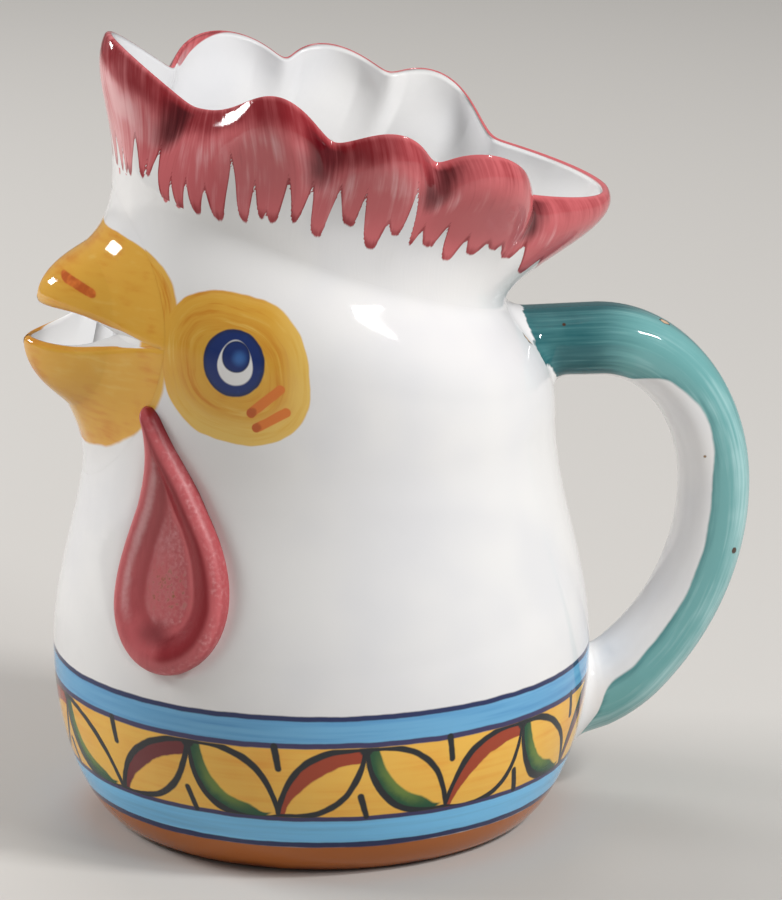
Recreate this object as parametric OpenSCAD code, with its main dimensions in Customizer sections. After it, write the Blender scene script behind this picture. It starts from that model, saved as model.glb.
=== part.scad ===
// Chicken pitcher: a glazed earthenware jug in the shape of a hen, luted together from clay pieces.
// Sizes are in mm. It stands on z = 0, with the beak toward -X and the handle toward +X.

/* [Belly] */
// Radius of the ring that the pitcher stands on
foot_r = 55.5; // [50:0.5:60]
// Width of the standing ring
foot_ring = 6; // [4:0.5:9]
// Height of the floor's underside above the table
foot_lift = 2.5; // [1.5:0.5:4]
// Thickness of the floor
floor_t = 5; // [4:0.5:8]
// Radius of the belly where it is widest
belly_r = 72.6; // [68:0.2:78]
// Height at which the belly is widest
belly_z = 46; // [40:1:54]
// Squareness of the lower belly, less is squarer
belly_round = 0.62; // [0.5:0.02:0.8]
// Thickness of the clay wall
wall = 4.5; // [3.5:0.5:6]
// Slip seam left between two luted pieces
seam = 0.2; // [0.1:0.05:0.4]

/* [Head] */
// Height of the throat, where the head is luted to the belly
throat_z = 110; // [104:1:114]
// Radius of the throat
throat_r = 62.8; // [59:0.2:66]
// Narrowing of the head from the throat to the waist below the comb
waist_in = 10.8; // [8:0.2:14]
// Height of the waist over its own centre
waist_z = 160.4; // [155:0.2:166]
// Distance of the waist's centre in front of the foot's centre
waist_forward = 2.7; // [0:0.1:6]
// Fall of the waist toward the handle, in mm for each mm
waist_fall = 0.385; // [0.3:0.005:0.45]
// Bulge of the dome under the waist, 1 is none
dome_bulge = 2.8; // [1:0.1:3.5]

/* [Comb] */
// Flare of the comb from the waist to the valleys of its rim
rim_flare = 5.4; // [2:0.2:9]
// Height of the rim's plane over its own centre
rim_z = 187; // [181:0.2:194]
// Distance of the rim's centre behind the foot's centre
rim_back = 10.6; // [7:0.2:14]
// Fall of the rim toward the handle, in mm for each mm
rim_fall = 0.349; // [0.28:0.005:0.4]
// Angles of the valleys, counted from the handle over the right side, the beak and the left side
valley_angle = [34, 73, 105.5, 151, 208, 254, 284, 323.5];
// Outward reach of a plain lobe
lobe_out = 9; // [5:0.5:12]
// Rise of a plain lobe
lobe_up = 8; // [4:0.5:11]

/* [Beak] */
// Height of the corner of the mouth
mouth_z = 139; // [136:0.5:142]
// Half width of the beak at its root
beak_w = 37.5; // [34:0.5:41]
// Height of the upper beak at its root
upper_h = 24.5; // [21:0.5:28]
// Reach of the upper beak's tip beyond the throat
upper_out = 12.5; // [8:0.5:18]
// Height of the upper beak's tip
upper_tip_z = 144; // [141:0.5:147]
// Depth of the lower beak at its root
lower_h = 34; // [30:0.5:37]
// Reach of the lower beak's tip beyond the throat
lower_out = 16.3; // [11:0.5:22]
// Height of the lower beak's tip
lower_tip_z = 132; // [128:0.5:134]
// Thickness of the beak's wall
beak_t = 4; // [3:0.5:5]
// Width of the clay that joins the beak to the head at each corner of the mouth
beak_land = 13.5; // [11:0.5:16]
// Roundness of the beak's tips seen from the side, less is blunter
beak_round = 0.55; // [0.5:0.05:0.8]
// Roundness of the beak's tips seen from above
beak_sweep = 0.65; // [0.5:0.05:0.9]

/* [Wattles] */
// Angle from the beak to the wattle's lower end
wattle_angle = 48; // [42:0.5:54]
// Angle by which its upper end leans toward the beak
wattle_lean = 10; // [5:0.5:12]
// Height of its upper end
wattle_top = 123.5; // [118:0.5:127]
// Length of the wattle
wattle_len = 68; // [60:0.5:73]
// Half width where it is widest
wattle_w = 15.8; // [13:0.2:20]
// Half width of the stem at its upper end
wattle_stem = 2.5; // [2:0.5:5]
// Height of its raised border
wattle_h = 4.6; // [4:0.2:8]
// Depth of the hollow inside the border
wattle_hollow = 2.6; // [2:0.2:3.8]

/* [Handle] */
// Height of the upper arm's centre line
handle_top = 127.4; // [123:0.2:131]
// Distance from the foot's centre at which the arm starts to turn
handle_turn = 75; // [71:0.5:80]
// Distance of the grip's centre line from the foot's centre
handle_reach = 107.6; // [102:0.2:116]
// Height at which the grip is farthest out
handle_mid = 86; // [80:1:92]
// Radius of the lower sweep
handle_sweep = 68.5; // [62:0.5:78]
// Angle of the lower sweep
handle_angle = 48; // [42:1:52]
// Thickness of the strap, seen from the side
handle_t = 19; // [15:0.5:23]
// Width of the strap, seen from behind
handle_w = 24; // [18:0.5:30]

/* [Hidden] */
// Height of the floor's top
floor_z = foot_lift + floor_t;
// Radius of the waist below the comb, and of the rim through its valleys
waist_r = throat_r - waist_in;
rim_r = waist_r + rim_flare;
// Heights in the belly's turned profile
belly_steps = 26;
// Points round the head and its rings
head_points = 72;
head_rings = 10;
// Points round the comb and its rings
comb_points = 120;
comb_rings = 11;
lip_rings = 4;
// Lead of the comb's flare, less flares lower down
comb_lead = 0.92;
// Rows and columns of the beak's surfaces
beak_rows = 12;
beak_cols = 18;
// Half width left at the very tip of a beak
beak_tip = 0.6;
// Share of the beak's reach that is hollow, and sharpness of the flare at its root
beak_hollow = 0.88;
flare_power = 6;
// Bow of the mouth's edges, up in the upper beak and down in the lower one
upper_bow = 2.3;
lower_bow = 2.2;
// Shares of the root that flare into the head: width, upper height, lower depth
width_flare = 0.1;
upper_flare = 0.15;
lower_flare = 0.25;
// Rows and columns of a wattle, and the height of its edge
wattle_rows = 30;
wattle_cols = 20;
wattle_edge = 0.6;
// Share of the wattle's length above its widest place, and slimness of that part
wattle_widest = 0.695;
wattle_slim = 1.6;
// Shares of the length in which the stem rounds off at its top and fades into the lobe
stem_top = 0.05;
stem_fade = 0.38;
// Sharpness of the wattle's lean, more leans only near the top
lean_power = 3.5;
// Distances from the wattle's edge to the crest of its border and to the floor of its hollow
border_crest = 3.4;
border_foot = 10;
// Share of the wattle's length left off at each end, where it would come to nothing
wattle_end = 0.015;
// Points round the strap and steps in each half of its path
strap_points = 28;
strap_steps = 12;
// Flare of the strap where it meets the head and the belly
root_flare = 0.97;
foot_flare = 1.08;
// Fall of the strap's lower root, in degrees, and squareness of its section, 1 is an oval
root_fall = 26;
strap_square = 0.85;
// Rise and inset of each valley, and rise and reach of the lobe after it, as shares of a plain lobe
valley_up = [0.65, 1.22, 0.34, -0.78, -0.73, 0.12, 0.49, 0.22];
valley_in = [0.5, 0.15, 0.15, 0, 0, 0.15, 0.15, 0.5];
lobe_rise = [0.77, 0.63, 0.73, 1.03, 1.23, 1.04, 1.26, 0.36];
lobe_reach = [1.2, 0.9, 0.85, 1.33, 0.85, 0.9, 1.2, 1.78];
// Share of the way across each lobe at which it is highest
lobe_peak = [0.67, 0.53, 0.34, 0.5, 0.76, 0.63, 0.37, 0.49];
// Lobes that swell only in the upper part of the comb, where it is 1
lobe_late = [1, 1, 1, 0, 1, 1, 1, 0];
// Shares of the way up between which those lobes swell
swell_low = 0.2;
swell_high = 0.85;
// Inward roll of the comb's outside toward the lip, how late it comes, and its slope at the lip
lip_roll = 2.4;
lip_late = 6;
lip_slope = 30;

glaze = [0.93, 0.92, 0.91];
crimson = [0.64, 0.22, 0.29];
yellow = [0.86, 0.67, 0.29];
teal = [0.27, 0.59, 0.59];

// Plain helpers
function mix(a, b, share) = a + (b - a) * share;
function ease(share) = (1 - cos(180 * share)) / 2;
function arc(share) = sqrt(1 - pow(1 - min(1, share), 2));
function quad(a, b, c, d) = [[a, b, c], [a, c, d]];
function flat_list(lists) = [for (l = lists) each l];
function turned(faces) = [for (f = faces) [f[2], f[1], f[0]]];

// Outer radius of the belly at a height
function belly_skin(z) = z < belly_z
    ? foot_r + (belly_r - foot_r) * pow(1 - pow(1 - z / belly_z, 2), belly_round)
    : throat_r + (belly_r - throat_r) * (1 - ease((z - belly_z) / (throat_z - belly_z)));

// Heights of the waist's plane and of the rim's plane at x
function waist_at(x) = waist_z - waist_fall * (x + waist_forward);
function rim_at(x) = rim_z - rim_fall * (x - rim_back);

// Radius and centre of the head at a share of the way from the throat to the waist:
// the back and sides bulge under the waist, and the front, where front is 1, is upright
function head_x(share) = -waist_forward * ease(share);
function front_of(across) = pow(max(0, -across), 2);
function head_r(share, front) = mix(throat_r, waist_r, ease(pow(share, mix(dome_bulge, 1, front))));

// Distance of a point outside the skin of the belly or head, less than 0 inside
function outside(p) = p.z < throat_z
    ? norm([p.x, p.y]) - belly_skin(max(p.z, 0))
    : let (share = min(1, (p.z - throat_z) / (waist_at(p.x) - throat_z)),
           flat = [p.x - head_x(share), p.y])
      norm(flat) - head_r(share, front_of(flat.x / norm(flat)));

// Point between an outer point and an inner one that is one seam off the skin
function on_skin(out, in, tries = 20) =
    let (mid = (out + in) / 2)
    tries == 0 ? mid
    : outside(mid) > seam ? on_skin(mid, in, tries - 1)
    : on_skin(out, mid, tries - 1);

// Faces of a shell made of closed rings of count points, the last ring joined to the first
function ring_faces(rings, count) = flat_list([
    for (k = [0 : rings - 1], i = [0 : count - 1])
        let (a = k * count, b = ((k + 1) % rings) * count, j = (i + 1) % count)
        quad(a + i, b + i, b + j, a + j)]);

// Faces of a slab between an upper and a lower grid of the same size
function slab_faces(rows, cols) =
    let (under = rows * cols)
    flat_list(concat(
        [for (i = [0 : rows - 2], j = [0 : cols - 2])
            let (p = i * cols + j) quad(p, p + cols, p + cols + 1, p + 1)],
        [for (i = [0 : rows - 2], j = [0 : cols - 2])
            let (p = under + i * cols + j) quad(p, p + 1, p + cols + 1, p + cols)],
        [for (i = [0 : rows - 2])
            let (p = i * cols, q = p + under) quad(p, q, q + cols, p + cols)],
        [for (i = [0 : rows - 2])
            let (p = i * cols + cols - 1, q = p + under) quad(p, p + cols, q + cols, q)],
        [for (j = [0 : cols - 2])
            let (q = j + under) quad(j, j + 1, q + 1, q)],
        [for (j = [0 : cols - 2])
            let (p = (rows - 1) * cols + j, q = p + under) quad(p, q, q + 1, p + 1)]));

// Floor disc inside the standing ring
module base() {
    color(glaze)
    translate([0, 0, foot_lift])
    cylinder(h = floor_t, r = foot_r - foot_ring - seam, $fn = 96);
}

// Turned wall from the standing ring to the throat
module belly() {
    heights = [for (i = [0 : belly_steps]) throat_z * pow(i / belly_steps, 1.35)];
    inner = [for (z = heights) if (z > floor_z) z];
    color(glaze)
    rotate_extrude($fn = 96)
    polygon(concat(
        [[foot_r - foot_ring, 0]],
        [for (z = heights) [belly_skin(z), z]],
        [for (i = [len(inner) - 1 : -1 : 0]) [belly_skin(inner[i]) - wall, inner[i]]],
        [[belly_skin(floor_z) - wall, floor_z], [foot_r - foot_ring, floor_z]]));
}

// One ring of the head's wall
function head_ring(share, inset) = [
    for (i = [0 : head_points - 1])
        let (a = 360 * i / head_points,
             r = head_r(share, front_of(cos(a))) - inset,
             x = head_x(share) + r * cos(a),
             low = throat_z + seam)
        [x, r * sin(a), mix(low, waist_at(x), share)]];

// Outline of the pour hole, seen along the beak
function pour_outline() = [
    for (a = [0 : 10 : 350])
        [inner_w() * cos(a), mouth_z + (a < 180 ? inner_up() : inner_down()) * sin(a)]];

// Domed wall from the throat to the waist, with the pour hole behind the beak
module head() {
    shares = [for (k = [0 : head_rings]) k / head_rings];
    rings = concat(
        [for (s = shares) head_ring(s, 0)],
        [for (k = [head_rings : -1 : 0]) head_ring(shares[k], wall)]);
    color(glaze)
    difference() {
        polyhedron(flat_list(rings), ring_faces(len(rings), head_points), convexity = 6);
        translate([-throat_r - wall, 0, 0])
        rotate([90, 0, 90])
        linear_extrude(throat_r)
        polygon(pour_outline());
    }
}

// Valleys and their values all the way round, with the first one again at the end
lobes = len(valley_angle);
valleys = concat(valley_angle, valley_angle[0] + 360);
valley_rises = concat(valley_up, valley_up[0]);
valley_insets = concat(valley_in, valley_in[0]);

// Angle counted from the first valley on, the lobe that holds it, the way across and the bulge there
function loop_angle(angle) = angle < valleys[0] ? angle + 360 : angle;
function lobe_of(a) = max([for (k = [0 : lobes - 1]) if (a >= valleys[k]) k]);
function lobe_way(a) = let (k = lobe_of(a)) (a - valleys[k]) / (valleys[k + 1] - valleys[k]);
function lobe_bulge(a) = sin(180 * pow(lobe_way(a), ln(0.5) / ln(lobe_peak[lobe_of(a)])));

// Swelling of a lobe at a share of the way up
function lobe_swell(k, share) = lobe_late[k] == 0 ? 1
    : ease(min(1, max(0, (share - swell_low) / (swell_high - swell_low))));

// Radius toward the rim at a share of the way up, and the rim's rise over its plane
function rim_reach(a, share) =
    let (k = lobe_of(a))
    rim_r + lobe_out * (lobe_reach[k] * lobe_bulge(a) * lobe_swell(k, share)
        - mix(valley_insets[k], valley_insets[k + 1], lobe_way(a)));
function rim_rise(a) =
    let (k = lobe_of(a))
    lobe_up * (lobe_rise[k] * lobe_bulge(a)
        + mix(valley_rises[k], valley_rises[k + 1], lobe_way(a)));

// Point of the comb at an angle, at a share of the way from the waist to the rim
function comb_point(angle, share, inset, lift) =
    let (a = loop_angle(angle),
         flare = pow(sin(90 * pow(share, comb_lead)), 2),
         round = [cos(angle), sin(angle)],
         low = [-waist_forward, 0] + waist_r * round,
         high = [rim_back, 0] + rim_reach(a, share) * round,
         at = mix(low, high, flare) - inset * round,
         foot = waist_at(low.x - (1 - share) * inset * round.x) + seam)
    [at.x, at.y, mix(foot, rim_at(high.x) + rim_rise(a), share) + lift];
function comb_ring(share, inset, lift = 0) = [
    for (i = [0 : comb_points - 1]) comb_point(360 * i / comb_points, share, inset, lift)];

// Flared and scalloped collar that rolls over into a rounded lip
module comb() {
    shares = [for (k = [0 : comb_rings]) k / comb_rings];
    lip = [for (k = [1 : lip_rings]) mix(lip_slope, 180, k / (lip_rings + 1))];
    lip_r = (wall - lip_roll) / (1 + cos(lip_slope));
    rings = concat(
        [for (s = shares) comb_ring(s, lip_roll * pow(s, lip_late))],
        [for (a = lip) comb_ring(1, wall - lip_r * (1 + cos(a)), lip_r * (sin(a) - sin(lip_slope)))],
        [for (k = [comb_rings : -1 : 0]) comb_ring(shares[k], wall)]);
    color(crimson)
    polyhedron(flat_list(rings), ring_faces(len(rings), comb_points), convexity = 8);
}

// Half width, height and depth of the hollow inside the beak's root
function inner_w() = beak_w - beak_land;
function inner_up() = upper_h * (1 - upper_flare) - beak_t;
function inner_down() = lower_h * (1 - lower_flare) - beak_t;

// Narrowing of the beak from 1 at the root to 0 at the tip
function taper(share, roundness, flare) =
    mix(pow(1 - share, roundness), pow(1 - share, flare_power), flare);

// Point of the beak's root on the skin: way is 1 for the upper half and -1 for the lower one
function beak_root(way, wide, tall, edge_z, a) =
    let (y = -wide * cos(a), z = edge_z + way * tall * sin(a))
    on_skin([-2 * throat_r, y, z], [-waist_forward, y, z]);
function root_row(way, wide, tall, edge_z) = [
    for (j = [0 : beak_cols]) beak_root(way, wide, tall, edge_z, 180 * j / beak_cols)];

// Surface of half a beak, in rows from its root to its tip
function beak_grid(rows, way, wide, tall, flares, out, edge_z, tip_z, bow) = [
    for (i = [0 : rows], j = [0 : beak_cols])
        let (share = sin(90 * i / rows),
             a = 180 * j / beak_cols,
             root = beak_root(way, wide, tall, edge_z, a),
             w = max(beak_tip, wide * taper(share, beak_sweep, flares[0])),
             h = max(beak_tip, tall * taper(share, beak_round, flares[1])),
             edge = bow * sin(180 * share) * pow(cos(a), 2))
        [mix(root.x, -throat_r - out, share), -w * cos(a),
         mix(edge_z, tip_z, share) + way * (h * sin(a) + edge)]];

// Hollow half of the beak
module beak_half(way, outer_h, inner_h, flare, out, tip_z, bow) {
    edge_z = mouth_z + way * seam;
    outer = beak_grid(beak_rows, way, beak_w, outer_h, [width_flare, flare], out, edge_z, tip_z, bow);
    land = root_row(way, (beak_w + inner_w()) / 2, (outer_h + inner_h) / 2, edge_z);
    inner = beak_grid(beak_rows - 1, way, inner_w(), inner_h, [0, 0], beak_hollow * out,
        edge_z, mix(edge_z, tip_z, beak_hollow), bow);
    faces = slab_faces(beak_rows + 1, beak_cols + 1);
    color(yellow)
    polyhedron(concat(outer, land, inner), way > 0 ? faces : turned(faces), convexity = 6);
}

// Upper half of the beak
module upper_beak() {
    beak_half(1, upper_h, inner_up(), upper_flare, upper_out, upper_tip_z, upper_bow);
}

// Lower half of the beak, the pouring lip
module lower_beak() {
    beak_half(-1, lower_h, inner_down(), lower_flare, lower_out, lower_tip_z, lower_bow);
}

// Half width of the wattle at a share of its length from the top
function wattle_half(share) = share < wattle_widest
    ? wattle_w * pow(sin(90 * share / wattle_widest), wattle_slim)
        + wattle_stem * max(0, 1 - share / stem_fade) * arc(share / stem_top)
    : wattle_w * arc(1 - wattle_below(share));

// Share of the way from the wattle's widest place to its lower end
function wattle_below(share) = max(0, (share - wattle_widest) / (1 - wattle_widest));

// Distance from the wattle's edge, across is -1 to 1 from edge to edge
function wattle_inward(share, across) = share < wattle_widest
    ? wattle_half(share) * (1 - abs(across))
    : wattle_w * (1 - norm([across * wattle_half(share) / wattle_w, wattle_below(share)]));

// Height of the wattle over the skin: a rounded border with a hollow inside it
function wattle_relief(share, across) =
    let (in = wattle_inward(share, across),
         hollow = ease(min(1, max(0, (in - border_crest) / (border_foot - border_crest)))),
         rise = arc(in / border_crest) * arc(share / stem_top))
    mix(wattle_edge, wattle_h - wattle_hollow * hollow, rise);

// Point over the skin at a share of the length and across the wattle
function wattle_point(share, across, lift) =
    let (z = wattle_top - wattle_len * share,
         round = PI * throat_r / 180,
         angle = 180 + wattle_angle - wattle_lean * pow(1 - share, lean_power)
             + wattle_half(share) * across / round,
         way = [cos(angle), sin(angle), 0],
         high = [0, 0, z])
    on_skin(high + 2 * belly_r * way, high) + lift * way;

// Hanging lobe on the side of negative y
module left_wattle() {
    grid = [for (i = [0 : wattle_rows], j = [0 : wattle_cols])
        [mix(wattle_end, 1 - wattle_end, i / wattle_rows), 2 * j / wattle_cols - 1]];
    top = [for (g = grid) wattle_point(g[0], g[1], wattle_relief(g[0], g[1]))];
    under = [for (g = grid) wattle_point(g[0], g[1], 0)];
    color(crimson)
    polyhedron(concat(top, under), turned(slab_faces(wattle_rows + 1, wattle_cols + 1)), convexity = 6);
}

// The same lobe on the other side
module right_wattle() {
    mirror([0, 1, 0]) left_wattle();
}

// Centre line of the strap: a quarter of an ellipse down to the grip, then the lower sweep
function strap_path(step) = step <= strap_steps
    ? let (a = 90 - 90 * step / strap_steps)
      [mix(handle_turn, handle_reach, cos(a)), 0, mix(handle_mid, handle_top, sin(a))]
    : let (a = -handle_angle * (step / strap_steps - 1))
      [handle_reach - handle_sweep * (1 - cos(a)), 0, handle_mid + handle_sweep * sin(a)];

// Way along the strap at a step
function strap_way(step) =
    let (d = strap_path(min(step + 0.5, 2 * strap_steps)) - strap_path(max(step - 0.5, 0)))
    d / norm(d);

// Rounded strap section at a step
function strap_ring(step, size) =
    let (way = strap_way(step), out = [-way.z, 0, way.x])
    [for (i = [0 : strap_points - 1])
        let (a = 360 * i / strap_points, c = cos(a), s = sin(a))
        strap_path(step)
            + size * handle_t / 2 * sign(c) * pow(abs(c), strap_square) * out
            + [0, size * handle_w / 2 * sign(s) * pow(abs(s), strap_square), 0]];

// The points of a ring, drawn toward a centre and carried along a way until they meet the skin
function strap_root(ring, centre, size, way) = [
    for (p = ring)
        let (q = mix(centre, p, size))
        on_skin(q - handle_t * way, q + 1.2 * throat_r * way)];

// Ring between a strap ring and its root that leaves the strap along its way and bends to the root
function strap_bend(ring, root, way, share) = [
    for (i = [0 : strap_points - 1])
        let (p = ring[i], q = root[i], bend = p + way * norm(q - p) / 2)
        mix(mix(p, bend, share), mix(bend, q, share), share)];

// Strap handle from the back of the head to the low belly
module handle() {
    last = 2 * strap_steps;
    top_way = [-1, 0, 0];
    low_way = [-cos(root_fall), 0, -sin(root_fall)];
    first_ring = strap_ring(0, 1);
    last_ring = strap_ring(last, foot_flare);
    top_root = strap_root(first_ring, strap_path(0), root_flare, top_way);
    low_root = strap_root(last_ring, strap_path(last), 1, low_way);
    top_cap = strap_root(first_ring, strap_path(0), root_flare / 2, top_way);
    low_cap = strap_root(last_ring, strap_path(last), 0.5, low_way);
    rings = concat(
        [top_cap, top_root, (top_root + 3 * first_ring) / 4],
        [for (k = [0 : last]) strap_ring(k, mix(1, foot_flare, pow(max(0, k / strap_steps - 1), 3)))],
        [for (share = [0.25, 0.5, 0.75]) strap_bend(last_ring, low_root, strap_way(last), share)],
        [low_root, low_cap]);
    tops = len(rings) * strap_points;
    ends = [
        strap_root([strap_path(0)], strap_path(0), 1, top_way)[0],
        strap_root([strap_path(last)], strap_path(last), 1, low_way)[0]];
    walls = [for (f = ring_faces(len(rings), strap_points)) if (max(f) - min(f) < 3 * strap_points) f];
    caps = flat_list([for (i = [0 : strap_points - 1])
        let (j = (i + 1) % strap_points, k = tops - strap_points)
        [[tops, i, j], [tops + 1, k + j, k + i]]]);
    color(teal)
    polyhedron(concat(flat_list(rings), ends), concat(walls, caps), convexity = 8);
}

base();
belly();
head();
comb();
upper_beak();
lower_beak();
left_wattle();
right_wattle();
handle();
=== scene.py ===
"""Looks of the chicken pitcher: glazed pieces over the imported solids, hand-painted by shader formulas."""
import math

import bmesh
import bpy
import numpy as np
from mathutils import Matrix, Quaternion, Vector


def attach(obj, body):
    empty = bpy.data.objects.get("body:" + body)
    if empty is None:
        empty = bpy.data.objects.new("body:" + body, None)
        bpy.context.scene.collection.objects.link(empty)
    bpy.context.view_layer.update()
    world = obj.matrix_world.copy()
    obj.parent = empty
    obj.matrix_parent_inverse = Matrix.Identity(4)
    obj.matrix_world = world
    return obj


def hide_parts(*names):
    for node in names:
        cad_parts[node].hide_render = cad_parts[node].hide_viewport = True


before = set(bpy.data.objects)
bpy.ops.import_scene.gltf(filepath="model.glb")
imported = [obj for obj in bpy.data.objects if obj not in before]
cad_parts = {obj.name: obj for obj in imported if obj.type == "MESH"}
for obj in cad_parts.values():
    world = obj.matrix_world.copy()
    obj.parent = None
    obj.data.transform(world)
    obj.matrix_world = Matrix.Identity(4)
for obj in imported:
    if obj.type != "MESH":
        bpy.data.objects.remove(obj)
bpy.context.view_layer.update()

# Sizes in mm, as in the part's source: the beak is toward -X, the handle toward +X
MM = 0.001
FOOT_R = 55.5
FOOT_RING = 6
FOOT_LIFT = 2.5
FLOOR_T = 5
FLOOR_Z = FOOT_LIFT + FLOOR_T
BELLY_R = 72.6
BELLY_Z = 46
BELLY_ROUND = 0.62
WALL = 4.5
THROAT_Z = 110
THROAT_R = 62.8
WAIST_R = THROAT_R - 10.8
WAIST_Z = 160.4
WAIST_FORWARD = 2.7
WAIST_FALL = 0.385
DOME_BULGE = 2.8
RIM_R = WAIST_R + 5.4
RIM_Z = 187
RIM_BACK = 10.6
RIM_FALL = 0.349
VALLEY_ANGLE = np.array([34, 73, 105.5, 151, 208, 254, 284, 323.5])
VALLEY_UP = np.array([0.65, 1.22, 0.34, -0.78, -0.73, 0.12, 0.49, 0.22])
VALLEY_IN = np.array([0.5, 0.15, 0.15, 0, 0, 0.15, 0.15, 0.5])
LOBE_OUT = 9
LOBE_UP = 8
LOBE_RISE = np.array([0.77, 0.63, 0.73, 1.03, 1.23, 1.04, 1.26, 0.36])
LOBE_REACH = np.array([1.2, 0.9, 0.85, 1.33, 0.85, 0.9, 1.2, 1.78])
LOBE_PEAK = np.array([0.67, 0.53, 0.34, 0.5, 0.76, 0.63, 0.37, 0.49])
LOBE_LATE = np.array([1, 1, 1, 0, 1, 1, 1, 0])
SWELL_LOW = 0.2
SWELL_HIGH = 0.85
LIP_ROLL = 2.4
LIP_LATE = 6
LIP_SLOPE = 30
COMB_LEAD = 0.92
MOUTH_Z = 139
BEAK_W = 37.5
BEAK_T = 4
BEAK_LAND = 13.5
BEAK_ROUND = 0.55
BEAK_SWEEP = 0.65
BEAK_HOLLOW = 0.88
BEAK_TIP = 0.6
FLARE_POWER = 6
WIDTH_FLARE = 0.1
UPPER_H = 24.5
UPPER_OUT = 12.5
UPPER_TIP_Z = 144
UPPER_FLARE = 0.15
UPPER_BOW = 2.3
LOWER_H = 34
LOWER_OUT = 16.3
LOWER_TIP_Z = 132
LOWER_FLARE = 0.25
LOWER_BOW = 2.2
WATTLE_ANGLE = 48
WATTLE_LEAN = 10
LEAN_POWER = 3.5
WATTLE_TOP = 123.5
WATTLE_LEN = 68
WATTLE_W = 15.8
WATTLE_STEM = 2.5
STEM_TOP = 0.05
STEM_FADE = 0.38
WATTLE_H = 4.6
WATTLE_HOLLOW = 2.6
WATTLE_EDGE = 0.6
WATTLE_WIDEST = 0.695
WATTLE_SLIM = 1.6
BORDER_CREST = 3.4
BORDER_FOOT = 10
HANDLE_TOP = 127.4
HANDLE_TURN = 75
HANDLE_REACH = 107.6
HANDLE_MID = 86
HANDLE_SWEEP = 68.5
HANDLE_ANGLE = 48
HANDLE_T = 19
HANDLE_W = 24
HANDLE_SQUARE = 0.85
ROOT_FLARE = 0.97
FOOT_FLARE = 1.08
ROOT_FALL = 26


# Plain helpers
def mix(a, b, share):
    return a + (b - a) * share


def ease(share):
    return (1 - np.cos(np.pi * share)) / 2


def arc(share):
    return np.sqrt(1 - (1 - np.clip(share, 0, 1)) ** 2)


def cos(degrees):
    return np.cos(np.radians(degrees))


def sin(degrees):
    return np.sin(np.radians(degrees))


def circle(count):
    """Angles of that many points round a circle."""
    return 360 * np.arange(count) / count


def points_of(x, y, z):
    return np.stack(np.broadcast_arrays(x, y, z), axis=-1).astype(float)


def xyz(place):
    return np.moveaxis(place, -1, 0)


def lengths(ways):
    """Length of each vector, in a last axis of its own."""
    return np.linalg.norm(ways, axis=-1, keepdims=True)


def bent(a, corner, b, share):
    """Points of a smooth bend from a to b round a corner."""
    return mix(mix(a, corner, share), mix(corner, b, share), share)


# Skin of the belly and head
def belly_skin(z):
    """Outer radius of the belly at a height."""
    low = (1 - (1 - np.clip(z / BELLY_Z, 0, 1)) ** 2) ** BELLY_ROUND
    high = 1 - ease(np.clip((z - BELLY_Z) / (THROAT_Z - BELLY_Z), 0, 1))
    under = FOOT_R + (BELLY_R - FOOT_R) * low
    over = THROAT_R + (BELLY_R - THROAT_R) * high
    return np.where(z < BELLY_Z, under, over)


def waist_at(x):
    return WAIST_Z - WAIST_FALL * (x + WAIST_FORWARD)


def rim_at(x):
    return RIM_Z - RIM_FALL * (x - RIM_BACK)


def head_x(share):
    return -WAIST_FORWARD * ease(share)


def front_of(across):
    return np.maximum(0, -across) ** 2


def head_r(share, front):
    """Radius of the head, which bulges at the back and sides and is upright in front."""
    return mix(THROAT_R, WAIST_R, ease(share ** mix(DOME_BULGE, 1, front)))


def outside(place):
    """Distance of points outside the skin, less than 0 inside."""
    x, y, z = xyz(place)
    share = np.clip((z - THROAT_Z) / (waist_at(x) - THROAT_Z), 0, 1)
    flat = x - head_x(share)
    reach = np.hypot(flat, y)
    head = reach - head_r(share, front_of(flat / np.maximum(reach, MM)))
    belly = np.hypot(x, y) - belly_skin(np.clip(z, 0, THROAT_Z))
    return np.where(z < THROAT_Z, belly, head)


HALVINGS = 30


def on_skin(out, within, lift=0.0):
    """Points between outer and inner ones that are lifted that far off the skin."""
    for _ in range(HALVINGS):
        middle = (out + within) / 2
        beyond = (outside(middle) > lift)[..., None]
        out = np.where(beyond, middle, out)
        within = np.where(beyond, within, middle)
    return (out + within) / 2


# Meshes
def solid(name, places, faces):
    """A smooth closed mesh piece that rides on the pitcher."""
    mesh = bpy.data.meshes.new(name)
    mesh.from_pydata((places.reshape(-1, 3) * MM).tolist(), [], [list(map(int, f)) for f in faces])
    shape = bmesh.new()
    shape.from_mesh(mesh)
    bmesh.ops.recalc_face_normals(shape, faces=shape.faces)
    shape.to_mesh(mesh)
    shape.free()
    mesh.shade_smooth()
    piece = bpy.data.objects.new(name, mesh)
    bpy.context.scene.collection.objects.link(piece)
    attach(piece, "root")
    return piece


def ring_faces(rings, points, closed):
    """Faces between closed rings of points, with the last ring joined to the first where closed."""
    faces = []
    for k in range(rings if closed else rings - 1):
        here = k * points
        there = (k + 1) % rings * points
        for i in range(points):
            j = (i + 1) % points
            faces.append([here + i, here + j, there + j, there + i])
    return faces


def crease(piece, ring_of, rings):
    """Makes the edges along these rings sharp, so that each side keeps its own shading."""
    mesh = piece.data
    ends = np.empty(len(mesh.edges) * 2, dtype=int)
    mesh.edges.foreach_get("vertices", ends)
    ends = ring_of[ends.reshape(-1, 2)]
    sharp = (ends[:, 0] == ends[:, 1]) & np.isin(ends[:, 0], rings)
    mesh.attributes.new("sharp_edge", "BOOLEAN", "EDGE").data.foreach_set("value", sharp)


def shell(name, rings, creases=()):
    """A closed shell of closed rings, the last joined to the first."""
    rings = np.asarray(rings, dtype=float)
    count, points = rings.shape[:2]
    piece = solid(name, rings, ring_faces(count, points, True))
    crease(piece, np.arange(count).repeat(points), list(creases))
    return piece


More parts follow.
